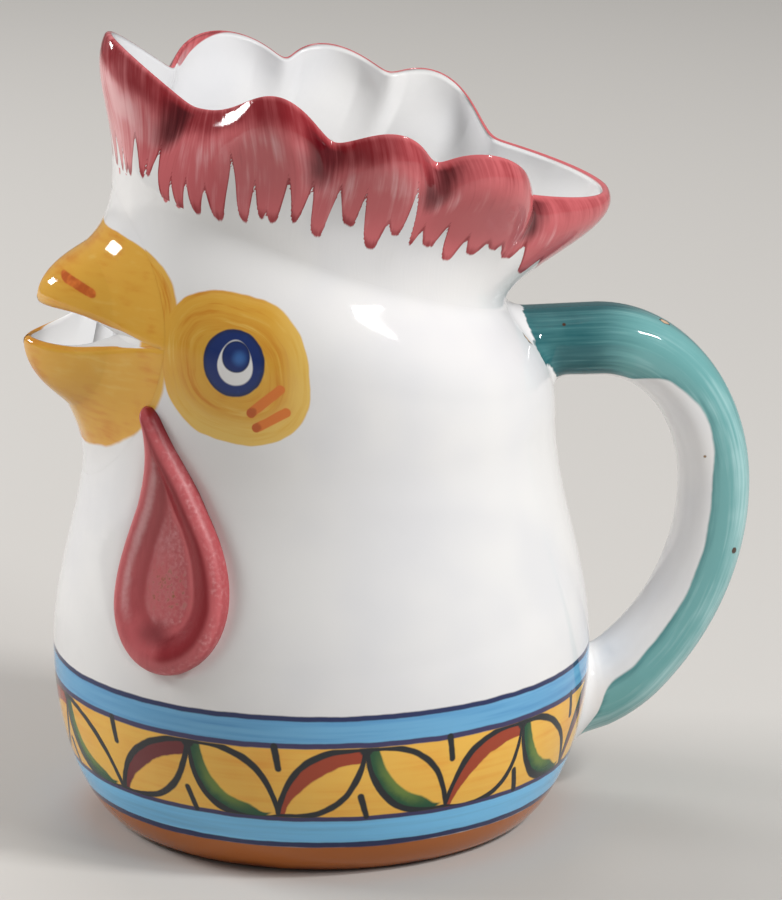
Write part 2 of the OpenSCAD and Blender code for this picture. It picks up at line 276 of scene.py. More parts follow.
def tube(name, rings):
    """A tube of closed rings, with a flat end on its first and its last one."""
    count, points = rings.shape[:2]
    faces = ring_faces(count, points, False)
    for first in (0, (count - 1) * points):
        faces.append(list(range(first, first + points)))
    return solid(name, rings, faces)


def measure(piece, shape, **measures):
    """Keeps numbers for each point of a piece, for its paint, where shape counts its rows and points."""
    for name, values in measures.items():
        spread = np.broadcast_to(values, shape).astype(np.float32).ravel()
        piece.data.attributes.new(name, "FLOAT", "POINT").data.foreach_set("value", spread)


# Wattles, and the soft groove that the modelling tool left round them
def wattle_below(share):
    """Share of the way from the widest place to the lower end."""
    return np.clip((share - WATTLE_WIDEST) / (1 - WATTLE_WIDEST), 0, 1)


def wattle_half(share):
    """Half width of a wattle at a share of its length from the top."""
    lobe = WATTLE_W * sin(90 * np.clip(share / WATTLE_WIDEST, 0, 1)) ** WATTLE_SLIM
    stem = WATTLE_STEM * np.maximum(0, 1 - share / STEM_FADE) * arc(share / STEM_TOP)
    return np.where(share < WATTLE_WIDEST, lobe + stem, WATTLE_W * arc(1 - wattle_below(share)))


def wattle_middle(share):
    """Angle from the beak to the wattle's middle line."""
    return WATTLE_ANGLE - WATTLE_LEAN * (1 - share) ** LEAN_POWER


def wattle_inward(share, across):
    """Distance from the edge, where across is -1 to 1 from edge to edge."""
    half = wattle_half(share)
    low = WATTLE_W * (1 - np.hypot(across * half / WATTLE_W, wattle_below(share)))
    return np.where(share < WATTLE_WIDEST, half * (1 - np.abs(across)), np.maximum(0, low))


def wattle_relief(share, across):
    """Height over the skin: a rounded border with a hollow inside it."""
    inward = wattle_inward(share, across)
    hollow = ease(np.clip((inward - BORDER_CREST) / (BORDER_FOOT - BORDER_CREST), 0, 1))
    rise = arc(inward / BORDER_CREST) * arc(share / STEM_TOP)
    return mix(WATTLE_EDGE, WATTLE_H - WATTLE_HOLLOW * hollow, rise)


GROOVE_DEPTH = 0.8
GROOVE_WIDTH = 2.6
GROOVE_START = 0.15
ROUND_MM = math.pi * THROAT_R / 180


def groove(place):
    """Depth of the groove round the wattles at points on the skin."""
    x, y, z = xyz(place)
    share = (WATTLE_TOP - z) / WATTLE_LEN
    inside = np.clip(share, 0, 1)
    angle = np.degrees(np.arctan2(np.abs(y), -x))
    aside = np.abs(angle - wattle_middle(inside)) * ROUND_MM
    beside = aside - wattle_half(inside)
    along = (share - inside) * WATTLE_LEN
    gap = np.hypot(np.maximum(beside, 0), along) + np.minimum(beside, 0)
    return GROOVE_DEPTH * np.clip(share / GROOVE_START - 1, 0, 1) * np.exp(-(gap / GROOVE_WIDTH) ** 2)


def sunk(place):
    """Points of the skin, drawn in by the groove."""
    flat = place[..., :2]
    moved = place.copy()
    moved[..., :2] -= flat / lengths(flat) * groove(place)[..., None]
    return moved


WATTLE_ROWS = 90
WATTLE_COLS = 56
WATTLE_TRIM = 0.004
WATTLE_SINK = -1.6
WATTLE_BACK = -2.4


def wattle(name, side):
    """A hanging lobe, on the side of negative y where side is 1."""
    share = mix(WATTLE_TRIM, 1 - WATTLE_TRIM, ease(np.arange(WATTLE_ROWS + 1) / WATTLE_ROWS))[:, None]
    across = -cos(180 * np.arange(WATTLE_COLS + 1) / WATTLE_COLS)[None, :]
    z = WATTLE_TOP - WATTLE_LEN * share
    angle = 180 + wattle_middle(share) + wattle_half(share) * across / ROUND_MM
    way = points_of(cos(angle), sin(angle), 0)
    high = points_of(0, 0, z + 0 * across)
    skin = on_skin(high + 2 * BELLY_R * way, high)
    lift = wattle_relief(share, across)
    lift[:, [0, -1]] = WATTLE_SINK
    top = skin + lift[..., None] * way
    under = skin + WATTLE_BACK * way
    places = np.array([top, under]) * np.array([1, side, 1])
    piece = solid(name, places, slab_faces(*lift.shape))
    measure(piece, (2, *lift.shape), share=share, across=across, inward=wattle_inward(share, across))
    return piece


def slab_faces(rows, cols):
    """Faces of a slab between an upper and a lower grid of the same size."""
    under = rows * cols
    faces = []
    for i in range(rows - 1):
        for j in range(cols - 1):
            p = i * cols + j
            top = [p, p + 1, p + cols + 1, p + cols]
            faces.append(top)
            faces.append([under + q for q in reversed(top)])
    border = list(range(cols))
    border += [i * cols + cols - 1 for i in range(1, rows)]
    border += [(rows - 1) * cols + j for j in range(cols - 2, -1, -1)]
    border += [i * cols for i in range(rows - 2, 0, -1)]
    for p, q in zip(border, border[1:] + border[:1]):
        faces.append([q, p, under + p, under + q])
    return faces


# Base and belly
TURN_POINTS = 320
FOOT_INNER = FOOT_R - FOOT_RING
UNDER_ROWS = 50
UNDER_MARK = 0.12
UNDER_WAVE = 1.7
FLOOR_ROWS = 40
FLOOR_MARK = 0.1
FLOOR_WAVE = 0.9
BELLY_ROWS = 150
BELLY_CROWD = 1.3
BELLY_INNER_ROWS = 60
BEND_UP = 7
BEND_ROWS = 10
FOOT_EDGE = ((0.0, 1.0), (0.3, 0.3), (1.0, 0.0))


def turned(profile):
    """Rings of points from a profile of radius and height."""
    angle = circle(TURN_POINTS)
    return np.array([points_of(r * cos(angle), r * sin(angle), z) for r, z in profile])


def make_base():
    """Floor disc, with the shallow turning rings of its underside."""
    out = np.linspace(1, FOOT_INNER, UNDER_ROWS)
    back = np.linspace(FOOT_INNER, 1, FLOOR_ROWS)
    under = [(r, FOOT_LIFT + UNDER_MARK * math.cos(r * UNDER_WAVE)) for r in out]
    over = [(r, FLOOR_Z + FLOOR_MARK * math.cos(r * FLOOR_WAVE)) for r in back]
    return tube("glazed_base", turned(under + over))


def make_belly():
    """Turned wall from the standing ring to the throat."""
    heights = THROAT_Z * np.linspace(0, 1, BELLY_ROWS) ** BELLY_CROWD
    outer = [(belly_skin(z), z) for z in heights]
    inner_heights = np.linspace(THROAT_Z, FLOOR_Z + BEND_UP, BELLY_INNER_ROWS)
    inner = [(belly_skin(z) - WALL, z) for z in inner_heights]
    corner = np.array([belly_skin(FLOOR_Z) - WALL, FLOOR_Z])
    start = np.array(inner[-1])
    end = np.array([FOOT_INNER, FLOOR_Z])
    bend = [bent(start, corner, end, t) for t in np.linspace(0, 1, BEND_ROWS + 1)[1:]]
    ring = [(FOOT_INNER + out, up) for out, up in FOOT_EDGE]
    rings = turned(ring + outer + inner + bend)
    first = len(ring)
    last = first + len(outer)
    rings[first:last] = sunk(rings[first:last])
    return shell("glazed_belly", rings, [last - 1, last])


# Head
HEAD_POINTS = 360
HEAD_ROWS = 90
HEAD_INNER_STEP = 3
HOLE_POINTS = 64
HOLE_START = -1.5 * THROAT_R


def head_ring(share, inset):
    """One ring of the head's wall."""
    angle = circle(HEAD_POINTS)
    r = head_r(share, front_of(cos(angle))) - inset
    x = head_x(share) + r * cos(angle)
    return points_of(x, r * sin(angle), mix(THROAT_Z, waist_at(x), share))


def inner_w():
    return BEAK_W - BEAK_LAND


def inner_h(tall, flare):
    return tall * (1 - flare) - BEAK_T


def make_head():
    """Domed wall from the throat to the waist, with the pour hole behind the beak."""
    shares = np.linspace(0, 1, HEAD_ROWS)
    outer = np.array([head_ring(s, 0) for s in shares])
    inner = np.array([head_ring(s, WALL) for s in shares[::-HEAD_INNER_STEP]])
    rings = np.concatenate([sunk(outer), inner])
    creases = [0, HEAD_ROWS - 1, HEAD_ROWS, len(rings) - 1]
    piece = shell("glazed_head", rings, creases)
    angle = circle(HOLE_POINTS)
    tall = np.where(angle < 180, inner_h(UPPER_H, UPPER_FLARE), inner_h(LOWER_H, LOWER_FLARE))
    hole = [points_of(x, inner_w() * cos(angle), MOUTH_Z + tall * sin(angle)) for x in (HOLE_START, 0)]
    cutter = tube("pour_hole", np.array(hole))
    cut = piece.modifiers.new("pour_hole", "BOOLEAN")
    cut.operation = "DIFFERENCE"
    cut.solver = "EXACT"
    cut.object = cutter
    now = bpy.context.evaluated_depsgraph_get()
    cut_mesh = bpy.data.meshes.new_from_object(piece.evaluated_get(now))
    piece.modifiers.clear()
    piece.data = cut_mesh
    bpy.data.objects.remove(cutter)
    return piece


# Comb
COMB_POINTS = 600
COMB_ROWS = 48
LIP_ROWS = 14
COMB_INNER_ROWS = 26
VALLEY_SOFT = 3


def softened(values, soft):
    """Values round the comb, evened out over that many points."""
    spread = np.arange(-3 * soft, 3 * soft + 1)
    weights = np.exp(-0.5 * (spread / soft) ** 2)
    return sum(w * np.roll(values, k) for w, k in zip(weights, spread)) / weights.sum()


def rim(angle, share):
    """Radius toward the rim at a share of the way up, and the rim's rise over its plane."""
    turn = np.where(angle < VALLEY_ANGLE[0], angle + 360, angle)
    valleys = np.append(VALLEY_ANGLE, VALLEY_ANGLE[0] + 360)
    lobe = np.searchsorted(valleys, turn, side="right") - 1
    after = (lobe + 1) % len(VALLEY_ANGLE)
    way = (turn - valleys[lobe]) / (valleys[lobe + 1] - valleys[lobe])
    bulge = sin(180 * way ** (np.log(0.5) / np.log(LOBE_PEAK[lobe])))
    late = ease(np.clip((share - SWELL_LOW) / (SWELL_HIGH - SWELL_LOW), 0, 1))
    swell = LOBE_REACH[lobe] * bulge * np.where(LOBE_LATE[lobe] == 0, 1, late)
    reach = RIM_R + LOBE_OUT * (swell - mix(VALLEY_IN[lobe], VALLEY_IN[after], way))
    rise = LOBE_UP * (LOBE_RISE[lobe] * bulge + mix(VALLEY_UP[lobe], VALLEY_UP[after], way))
    return softened(reach, VALLEY_SOFT), softened(rise, VALLEY_SOFT)


CUSHION = 1.5
CUSHION_LOW = 0.6
GLAZE_SOFT = 36
GLAZE_FILL = 0.4


def cushion(share):
    """Distance by which the lobes' outsides roll in near the rim, most of all at the sides."""
    angle = circle(COMB_POINTS)
    return CUSHION * np.abs(sin(angle)) * max(0, (share - CUSHION_LOW) / (1 - CUSHION_LOW)) ** 2


def comb_ring(share, inset=0.0, lift=0.0, fill=0.0):
    """Ring of the comb at a share of the way from the waist to the rim; fill evens out its lobes."""
    angle = circle(COMB_POINTS)
    reach, rise = rim(angle, share)
    reach = np.minimum(reach, mix(reach, softened(reach, GLAZE_SOFT), fill))
    flare = sin(90 * share ** COMB_LEAD) ** 2
    low_x = -WAIST_FORWARD + WAIST_R * cos(angle)
    high_x = RIM_BACK + reach * cos(angle)
    x = mix(low_x, high_x, flare) - inset * cos(angle)
    y = mix(WAIST_R, reach, flare) * sin(angle) - inset * sin(angle)
    foot = waist_at(low_x - (1 - share) * inset * cos(angle))
    return points_of(x, y, mix(foot, rim_at(high_x) + rise, share) + lift)


# Lower edge of the comb's brush strokes: by turns the tip of a stroke and the top of the gap after it,
# each as its lane and its height over the waist. A lane is the angle from the beak plus the stroke's lean.
STROKE_EDGE = np.array([
    (1.5, 1), (4.5, 9), (8, 0), (11.5, 9), (14.4, 0), (15.8, 7.3), (17.3, 0), (18.3, 2.6),
    (19.5, 0.5), (23.4, 11.7), (27.8, 1.9), (28.7, 6.5), (29.4, 2.9), (33, 11), (38.4, -1), (40.6, 5.9),
    (43.2, -1), (46.5, 7.2), (49.5, 0.4), (53, 7.6), (57.1, 1.4), (61.2, 19.2), (65.2, 3.8), (67.7, 14.9),
    (70, 6.2), (71.2, 8.4), (72.4, 6.3), (76, 19.8), (78, 8.6), (80.7, 20.3), (85.2, 7), (88.5, 22.6),
    (94.3, 12.8), (96.5, 24.8), (100, 8.7), (103.8, 17.8), (105.5, 14.1), (108.9, 31), (110.6, 13),
    (113, 18.9), (116.8, 13.6), (121, 22.2), (123.7, 11.1), (128.8, 19.2), (131.4, 14.3), (136, 18.9),
    (139, 16.8), (141.4, 19.1), (146, 14.9), (152, 20), (157.4, 11.3), (162, 17.2), (170, 12.6), (175, 20),
    (180, 13), (187, 20), (196, 13)])
STROKE_HALF = 0.5
STROKE_ROUND = 0.16
LEAN = 0.33
LEAN_MORE = 0.25
LEAN_PLACE = 40
LEAN_SPREAD = 14
# Width in degrees of the darkening round each valley, partly pooled paint and partly painted shade
VALLEY_DARK = 6


def stroke_end(lane):
    """Height over the waist at which the paint of a lane ends."""
    lanes, heights = STROKE_EDGE.T
    k = np.clip(np.searchsorted(lanes, lane) - 1, 0, len(lanes) - 2)
    way = np.clip((lane - lanes[k]) / (lanes[k + 1] - lanes[k]), 0, 1)
    tip_first = k % 2 == 0
    away = np.where(tip_first, way, 1 - way)
    tip = np.where(tip_first, heights[k], heights[k + 1])
    gap = np.where(tip_first, heights[k + 1], heights[k])
    end = 1 - np.sqrt(1 - np.minimum(1, away / STROKE_HALF) ** 2)
    slant = np.maximum(0, away - STROKE_HALF) / (1 - STROKE_HALF)
    return mix(tip, gap, STROKE_ROUND * end + (1 - STROKE_ROUND) * slant)


def make_comb():
    """Flared and scalloped collar with a rounded lip."""
    shares = np.linspace(0, 1, COMB_ROWS)
    outer = [comb_ring(s, LIP_ROLL * s ** LIP_LATE + cushion(s)) for s in shares]
    lip_angles = mix(LIP_SLOPE, 180, np.arange(1, LIP_ROWS + 1) / (LIP_ROWS + 1))
    lip_r = (WALL - LIP_ROLL - cushion(1.0)) / (1 + cos(LIP_SLOPE))
    lip = [comb_ring(1.0, WALL - lip_r * (1 + cos(a)), lip_r * (sin(a) - sin(LIP_SLOPE))) for a in lip_angles]
    down = np.linspace(1, 0, COMB_INNER_ROWS)
    inner = [comb_ring(s, WALL, fill=min(1, (1 - s) / GLAZE_FILL)) for s in down]
    rings = np.array(outer + lip + inner)
    piece = shell("glazed_comb", rings, [0, len(rings) - 1])
    steps = np.linalg.norm(np.diff(rings, axis=0), axis=-1)
    climb = np.concatenate([np.zeros((1, COMB_POINTS)), np.cumsum(steps, axis=0)])
    lip_at = climb[COMB_ROWS + LIP_ROWS // 2]
    angle = circle(COMB_POINTS)
    front = np.abs(180 - angle)
    lean = LEAN + LEAN_MORE * np.exp(-((front - LEAN_PLACE) / LEAN_SPREAD) ** 2)
    lane = front + lean * climb
    # Nearness to a valley, for the pooled paint and painted shade there
    aside = np.min([np.abs((angle - a + 180) % 360 - 180) for a in VALLEY_ANGLE], axis=0)
    valley = np.exp(-(aside / VALLEY_DARK) ** 2)
    painted = climb - stroke_end(lane)
    measure(piece, climb.shape, painted=painted, below=lip_at - climb, lane=lane, valley=valley)
    return piece


# Beak
BEAK_ROWS = 70
BEAK_COLS = 90
LIP_STEPS = 9
LIP_BULGE = 1.2
LIP_CORNER = 0.5
BEAK_START = 0.2
FILLET_ROWS = 9
BEAK_FILLET = 5.0
FILLET_MORE = 4.0
FILLET_POWER = 4
SKIRT_LIFT = 0.03


def taper(share, roundness, flare):
    """Narrowing of the beak from 1 at the root to 0 at the tip."""
    return mix((1 - share) ** roundness, (1 - share) ** FLARE_POWER, flare)


def from_front(y, z, lift=0.0):
    """Points of the skin that a look from the front meets."""
    return on_skin(points_of(-2 * THROAT_R, y, z), points_of(-WAIST_FORWARD, y, z), lift)


def beak_rows(way, wide, tall, flares, out, tip_z, bow, share, angle):
    """Surface of half a beak: way is 1 for the upper half and -1 for the lower one."""
    root = from_front(-wide * cos(angle), MOUTH_Z + way * tall * sin(angle))
    w = np.maximum(BEAK_TIP, wide * taper(share, BEAK_SWEEP, flares[0]))
    h = np.maximum(BEAK_TIP, tall * taper(share, BEAK_ROUND, flares[1]))
    x = mix(root[..., 0], -THROAT_R - out, share)
    edge = bow * sin(180 * share) * cos(angle) ** 2
    return points_of(x, -w * cos(angle), mix(MOUTH_Z, tip_z, share) + way * (h * sin(angle) + edge))


def cap_faces(first, columns, lips):
    """Faces that close a C-shaped ring: outer row, far lip, inner row backward, near lip."""
    inner = columns + lips
    faces = []
    for j in range(columns - 1):
        back = inner + columns - 1 - j
        faces.append([first + j, first + j + 1, first + back - 1, first + back])
    faces.append([first + k for k in range(columns - 1, inner + 1)])
    faces.append([first + k for k in range(inner + columns - 1, 2 * inner)] + [first])
    return faces


def beak_project(place):
    """Points moved back or forward onto the skin."""
    return from_front(place[..., 1], place[..., 2], SKIRT_LIFT)


def make_beak(name, way, tall, flare, out, tip_z, bow):
    """Hollow half of the beak, with rounded edges along the mouth."""
    angle = 180 * np.arange(BEAK_COLS + 1) / BEAK_COLS
    shares = sin(90 * np.linspace(BEAK_START, 1, BEAK_ROWS))
    flares = [WIDTH_FLARE, flare]
    full = [BEAK_W, tall, flares, out, tip_z, bow]
    outer = [beak_rows(way, *full, s, angle) for s in shares]
    root = beak_rows(way, *full, 0.0, angle)
    aside = root * np.array([0, 1, 1]) - np.array([0, 0, MOUTH_Z])
    fillet = BEAK_FILLET + FILLET_MORE * sin(angle)[:, None] ** FILLET_POWER
    skin = beak_project(root + aside * fillet / lengths(aside))
    skirt = [bent(skin, root, outer[0], t) for t in np.linspace(0, 1, FILLET_ROWS)[:-1]]
    skirt = [np.where(row[:, :1] < beak_project(row)[:, :1], row, beak_project(row)) for row in skirt]
    inner_tip = mix(MOUTH_Z, tip_z, BEAK_HOLLOW)
    hollow = [inner_w(), inner_h(tall, flare), [0, 0], BEAK_HOLLOW * out, inner_tip, bow]
    row_shares = [0.0] * len(skirt) + list(shares)
    inner = [beak_rows(way, *hollow, s, angle) for s in row_shares]
    steps = np.arange(1, LIP_STEPS + 1) / (LIP_STEPS + 1)
    across = ease(steps)[:, None]
    rings = []
    depths = []
    for outer_row, inner_row, share in zip(skirt + outer, inner, row_shares):
        swell = LIP_BULGE * arc(share / LIP_CORNER)
        bulge = np.sin(np.pi * steps)[:, None] * np.array([0, 0, -way * swell])
        far = mix(outer_row[-1], inner_row[-1], across) + bulge
        near = mix(inner_row[0], outer_row[0], across) + bulge
        rings.append(np.concatenate([outer_row, far, inner_row[::-1], near]))
        far_depth = np.linalg.norm(far - outer_row[-1], axis=-1)
        near_depth = np.linalg.norm(near - outer_row[0], axis=-1)
        depths.append(np.concatenate([0 * angle, far_depth, 0 * angle + BEAK_LAND, near_depth]))
    rings = np.array(rings)
    count, points = rings.shape[:2]
    columns = BEAK_COLS + 1
    faces = ring_faces(count, points, False)
    faces += cap_faces(0, columns, LIP_STEPS)
    faces += cap_faces((count - 1) * points, columns, LIP_STEPS)
    piece = solid(name, rings, faces)
    crease(piece, np.arange(count).repeat(points), [0])
    measure(piece, (count, points), inside=depths)
    return piece


# Handle
STRAP_POINTS = 72
STRAP_ROWS = 64
ROOT_ROWS = 12
HANDLE_FILLET = 5.0
FILLET_MOST = 0.6
SKIRT_SINK = 1.2
STRAP_HALVES = 2.0
STRAP_STEP = 0.02
LOW_BEND = 0.6
LOW_BEND_ROWS = 6


def strap_path(step):
    """Centre line, from 0 at the upper root over 1 at the grip to 2 at the lower root."""
    upper = 90 * (1 - min(step, 1.0))
    lower = -HANDLE_ANGLE * max(step - 1.0, 0.0)
    x = mix(HANDLE_TURN, HANDLE_REACH, cos(upper)) - HANDLE_SWEEP * (1 - cos(lower))
    z = mix(HANDLE_MID, HANDLE_TOP, sin(upper)) + HANDLE_SWEEP * sin(lower)
    return np.array([x, 0.0, z])


def strap_way(step):
    """Way along the strap."""
    ahead = strap_path(min(step + STRAP_STEP, STRAP_HALVES))
    behind = strap_path(max(step - STRAP_STEP, 0.0))
    return (ahead - behind) / np.linalg.norm(ahead - behind)


def strap_ring(step, size=1.0):
    """Rounded section of the strap."""
    way = strap_way(step)
    out = np.array([-way[2], 0.0, way[0]])
    angle = circle(STRAP_POINTS)
    c, s = cos(angle), sin(angle)
    thick = size * HANDLE_T / 2 * np.sign(c) * np.abs(c) ** HANDLE_SQUARE
    wide = size * HANDLE_W / 2 * np.sign(s) * np.abs(s) ** HANDLE_SQUARE
    return strap_path(step) + thick[:, None] * out + wide[:, None] * np.array([0.0, 1.0, 0.0])


def carried(ring, way, lift=0.0):
    """Points of a ring, carried along a way until they meet the skin."""
    return on_skin(ring - HANDLE_T * way, ring + 1.2 * THROAT_R * way, lift)


def strap_root(ring, root, way):
    """Rings from the strap's end ring to the skin, with a fillet where they meet it."""
    centre = root.mean(axis=0)
    aside = root - centre
    spread = 1 + HANDLE_FILLET / lengths(aside)
    skirt = carried(centre + aside * spread, way, SKIRT_LIFT)
    corner = mix(ring, root, 1 - np.minimum(FILLET_MOST, HANDLE_FILLET / lengths(root - ring)))
    straight = [mix(ring, corner, t) for t in np.linspace(0, 1, ROOT_ROWS)[1:]]
    curved = [bent(corner, root, skirt, t) for t in np.linspace(0, 1, FILLET_ROWS)[1:]]
    return straight + curved + [skirt + SKIRT_SINK * way]


def strap_bend(ring, root, way, share):
    """Ring that leaves the strap along its way and bends to the root."""
    corner = ring + way * lengths(root - ring) / 2
    return bent(ring, corner, root, share)


def make_handle():
    """Strap handle from the back of the head to the low belly."""
    top_way = np.array([-1.0, 0.0, 0.0])
    low_way = np.array([-cos(ROOT_FALL), 0.0, -sin(ROOT_FALL)])
    steps = np.linspace(0, STRAP_HALVES, STRAP_ROWS)
    strap = [strap_ring(u, mix(1, FOOT_FLARE, max(0.0, u - 1) ** 3)) for u in steps]
    top_root = carried(mix(strap_path(0), strap[0], ROOT_FLARE), top_way)
    low_root = carried(strap[-1], low_way)
    end_way = strap_way(STRAP_HALVES)
    bend_shares = np.linspace(0, LOW_BEND, LOW_BEND_ROWS + 1)[1:]
    bends = [strap_bend(strap[-1], low_root, end_way, t) for t in bend_shares]
    upper = strap_root(strap[0], top_root, top_way)
    lower = strap_root(bends[-1], low_root, low_way)
    rings = np.array(upper[::-1] + strap + bends + lower)
    count, points = rings.shape[:2]
    piece = tube("glazed_handle", rings)
    crease(piece, np.arange(count).repeat(points), [1, count - 2])
    middle = rings.mean(axis=1)
    paces = np.linalg.norm(np.diff(middle, axis=0), axis=-1)
    along = np.concatenate([[0.0], np.cumsum(paces)])
    turn = circle(points)
    measure(piece, (count, points), along=along[:, None], outer=cos(turn), aside=sin(turn))
    return piece


# Paint
def screen(red, green, blue):
    """A colour written in screen values of 0 to 255, as a shader takes it."""
    values = [v / 255 for v in (red, green, blue)]
    return tuple(v / 12.92 if v <= 0.04045 else ((v + 0.055) / 1.055) ** 2.4 for v in values) + (1.0,)


WHITE = screen(238, 237, 236)
WHITE_COOL = screen(229, 229, 231)
CLAY = screen(222, 186, 150)
SOOT = screen(74, 52, 40)
FLECK = screen(150, 118, 84)
CRIMSON = screen(206, 104, 108)
CRIMSON_DARK = screen(140, 32, 40)
CRIMSON_BLACK = screen(72, 6, 16)
CRIMSON_PALE = screen(236, 178, 180)
CRIMSON_BROWN = screen(146, 92, 44)
YELLOW = screen(226, 170, 64)
YELLOW_DEEP = screen(210, 130, 30)
YELLOW_PALE = screen(238, 200, 106)
RUST = screen(226, 124, 50)
RUST_DARK = screen(194, 92, 34)
NAVY = screen(34, 46, 92)
EYE_NAVY = screen(30, 52, 114)
EYE_BLUE = screen(72, 122, 190)
SKY = screen(112, 178, 220)
SKY_DEEP = screen(74, 142, 198)
# A lighter copy of SKY for the lower blue band: painted light, for the dimmer light on the downturned lower
# belly
SKY_LOW_PAINTED_LIGHT = screen(126, 204, 250)
INK = screen(36, 40, 44)
PLUM = screen(62, 58, 98)
FRIEZE = screen(246, 192, 84)
FRIEZE_DEEP = screen(236, 156, 56)
BRICK = screen(164, 66, 40)
MAROON = screen(112, 40, 44)
GREEN_DARK = screen(34, 84, 56)
GREEN = screen(108, 134, 62)
TAN = screen(184, 102, 36)
TAN_DARK = screen(124, 58, 18)
TEAL = screen(112, 170, 170)
TEAL_DARK = screen(36, 94, 100)
TEAL_PALE = screen(168, 208, 208)


class Field:
    """A number that varies over a surface, worked out by shader nodes."""

    def __init__(self, tree, socket):
        self.tree = tree
        self.socket = socket

    def apply(self, operation, *others):
        node = self.tree.nodes.new("ShaderNodeMath")
        node.operation = operation
        for entry, value in zip(node.inputs, (self, *others)):
            feed(self.tree, entry, value)
        return Field(self.tree, node.outputs[0])

    def __add__(self, other):
        return self.apply("ADD", other)

    def __sub__(self, other):
        return self.apply("SUBTRACT", other)

    def __rsub__(self, other):
        return self.apply("MULTIPLY_ADD", -1.0, other)

    def __mul__(self, other):
        return self.apply("MULTIPLY", other)

    def __truediv__(self, other):
        return self.apply("DIVIDE", other)

    def __abs__(self):
        return self.apply("ABSOLUTE")

    def __pow__(self, other):
        return self.apply("POWER", other)

    __radd__ = __add__
    __rmul__ = __mul__

    def least(self, other):
        return self.apply("MINIMUM", other)

    def most(self, other):
        return self.apply("MAXIMUM", other)

    def over(self, low, high):
        """0 below low and 1 above high, with a smooth step between them."""
        node = self.tree.nodes.new("ShaderNodeMapRange")
        node.interpolation_type = "SMOOTHSTEP"
        for name, value in (("Value", self), ("From Min", low), ("From Max", high)):
            feed(self.tree, node.inputs[name], value)
        return Field(self.tree, node.outputs[0])

    def under(self, edge, soft=0.25):
        """1 below an edge and 0 above it."""
        return 1.0 - (self - edge).over(-soft, soft)

    def between(self, low, high, soft=0.25):
        """1 between two edges and 0 beyond them."""
        return self.under(high, soft) * (1.0 - self.under(low, soft))


def feed(tree, entry, value):
    """Sets a node's entry to a number or colour, or joins a field or colour socket to it."""
    if isinstance(value, Field):
        tree.links.new(value.socket, entry)
    elif isinstance(value, bpy.types.NodeSocket):
        tree.links.new(value, entry)
    else:
        entry.default_value = value


def colour_socket(sockets, name):
    """The colour socket of that name on a node that mixes several kinds of values."""
    return next(s for s in sockets if s.name == name and s.type == "RGBA")


def length(u, v):
    return (u * u + v * v).apply("SQRT")


def oval(u, v, power):
    """More than 1 outside an oval of half size 1, which a higher power makes squarer."""
    return abs(u) ** power + abs(v) ** power


def dash(u, v, start, end):
    """Distance from a straight dash, drawn from start to end."""
    du, dv = end[0] - start[0], end[1] - start[1]
    size = du * du + dv * dv
    way = ((u - start[0]) * (du / size) + (v - start[1]) * (dv / size)).most(0.0).least(1.0)
    return length(u - start[0] - way * du, v - start[1] - way * dv)


GLAZE_ROUGH = 0.05
GLAZE_IOR = 1.5
GLOSS_CHANGE = 0.04
GLAZE_RELIEF = 0.05
NOISE_STEP = 17.3
CHANCE_STEP = 3.7


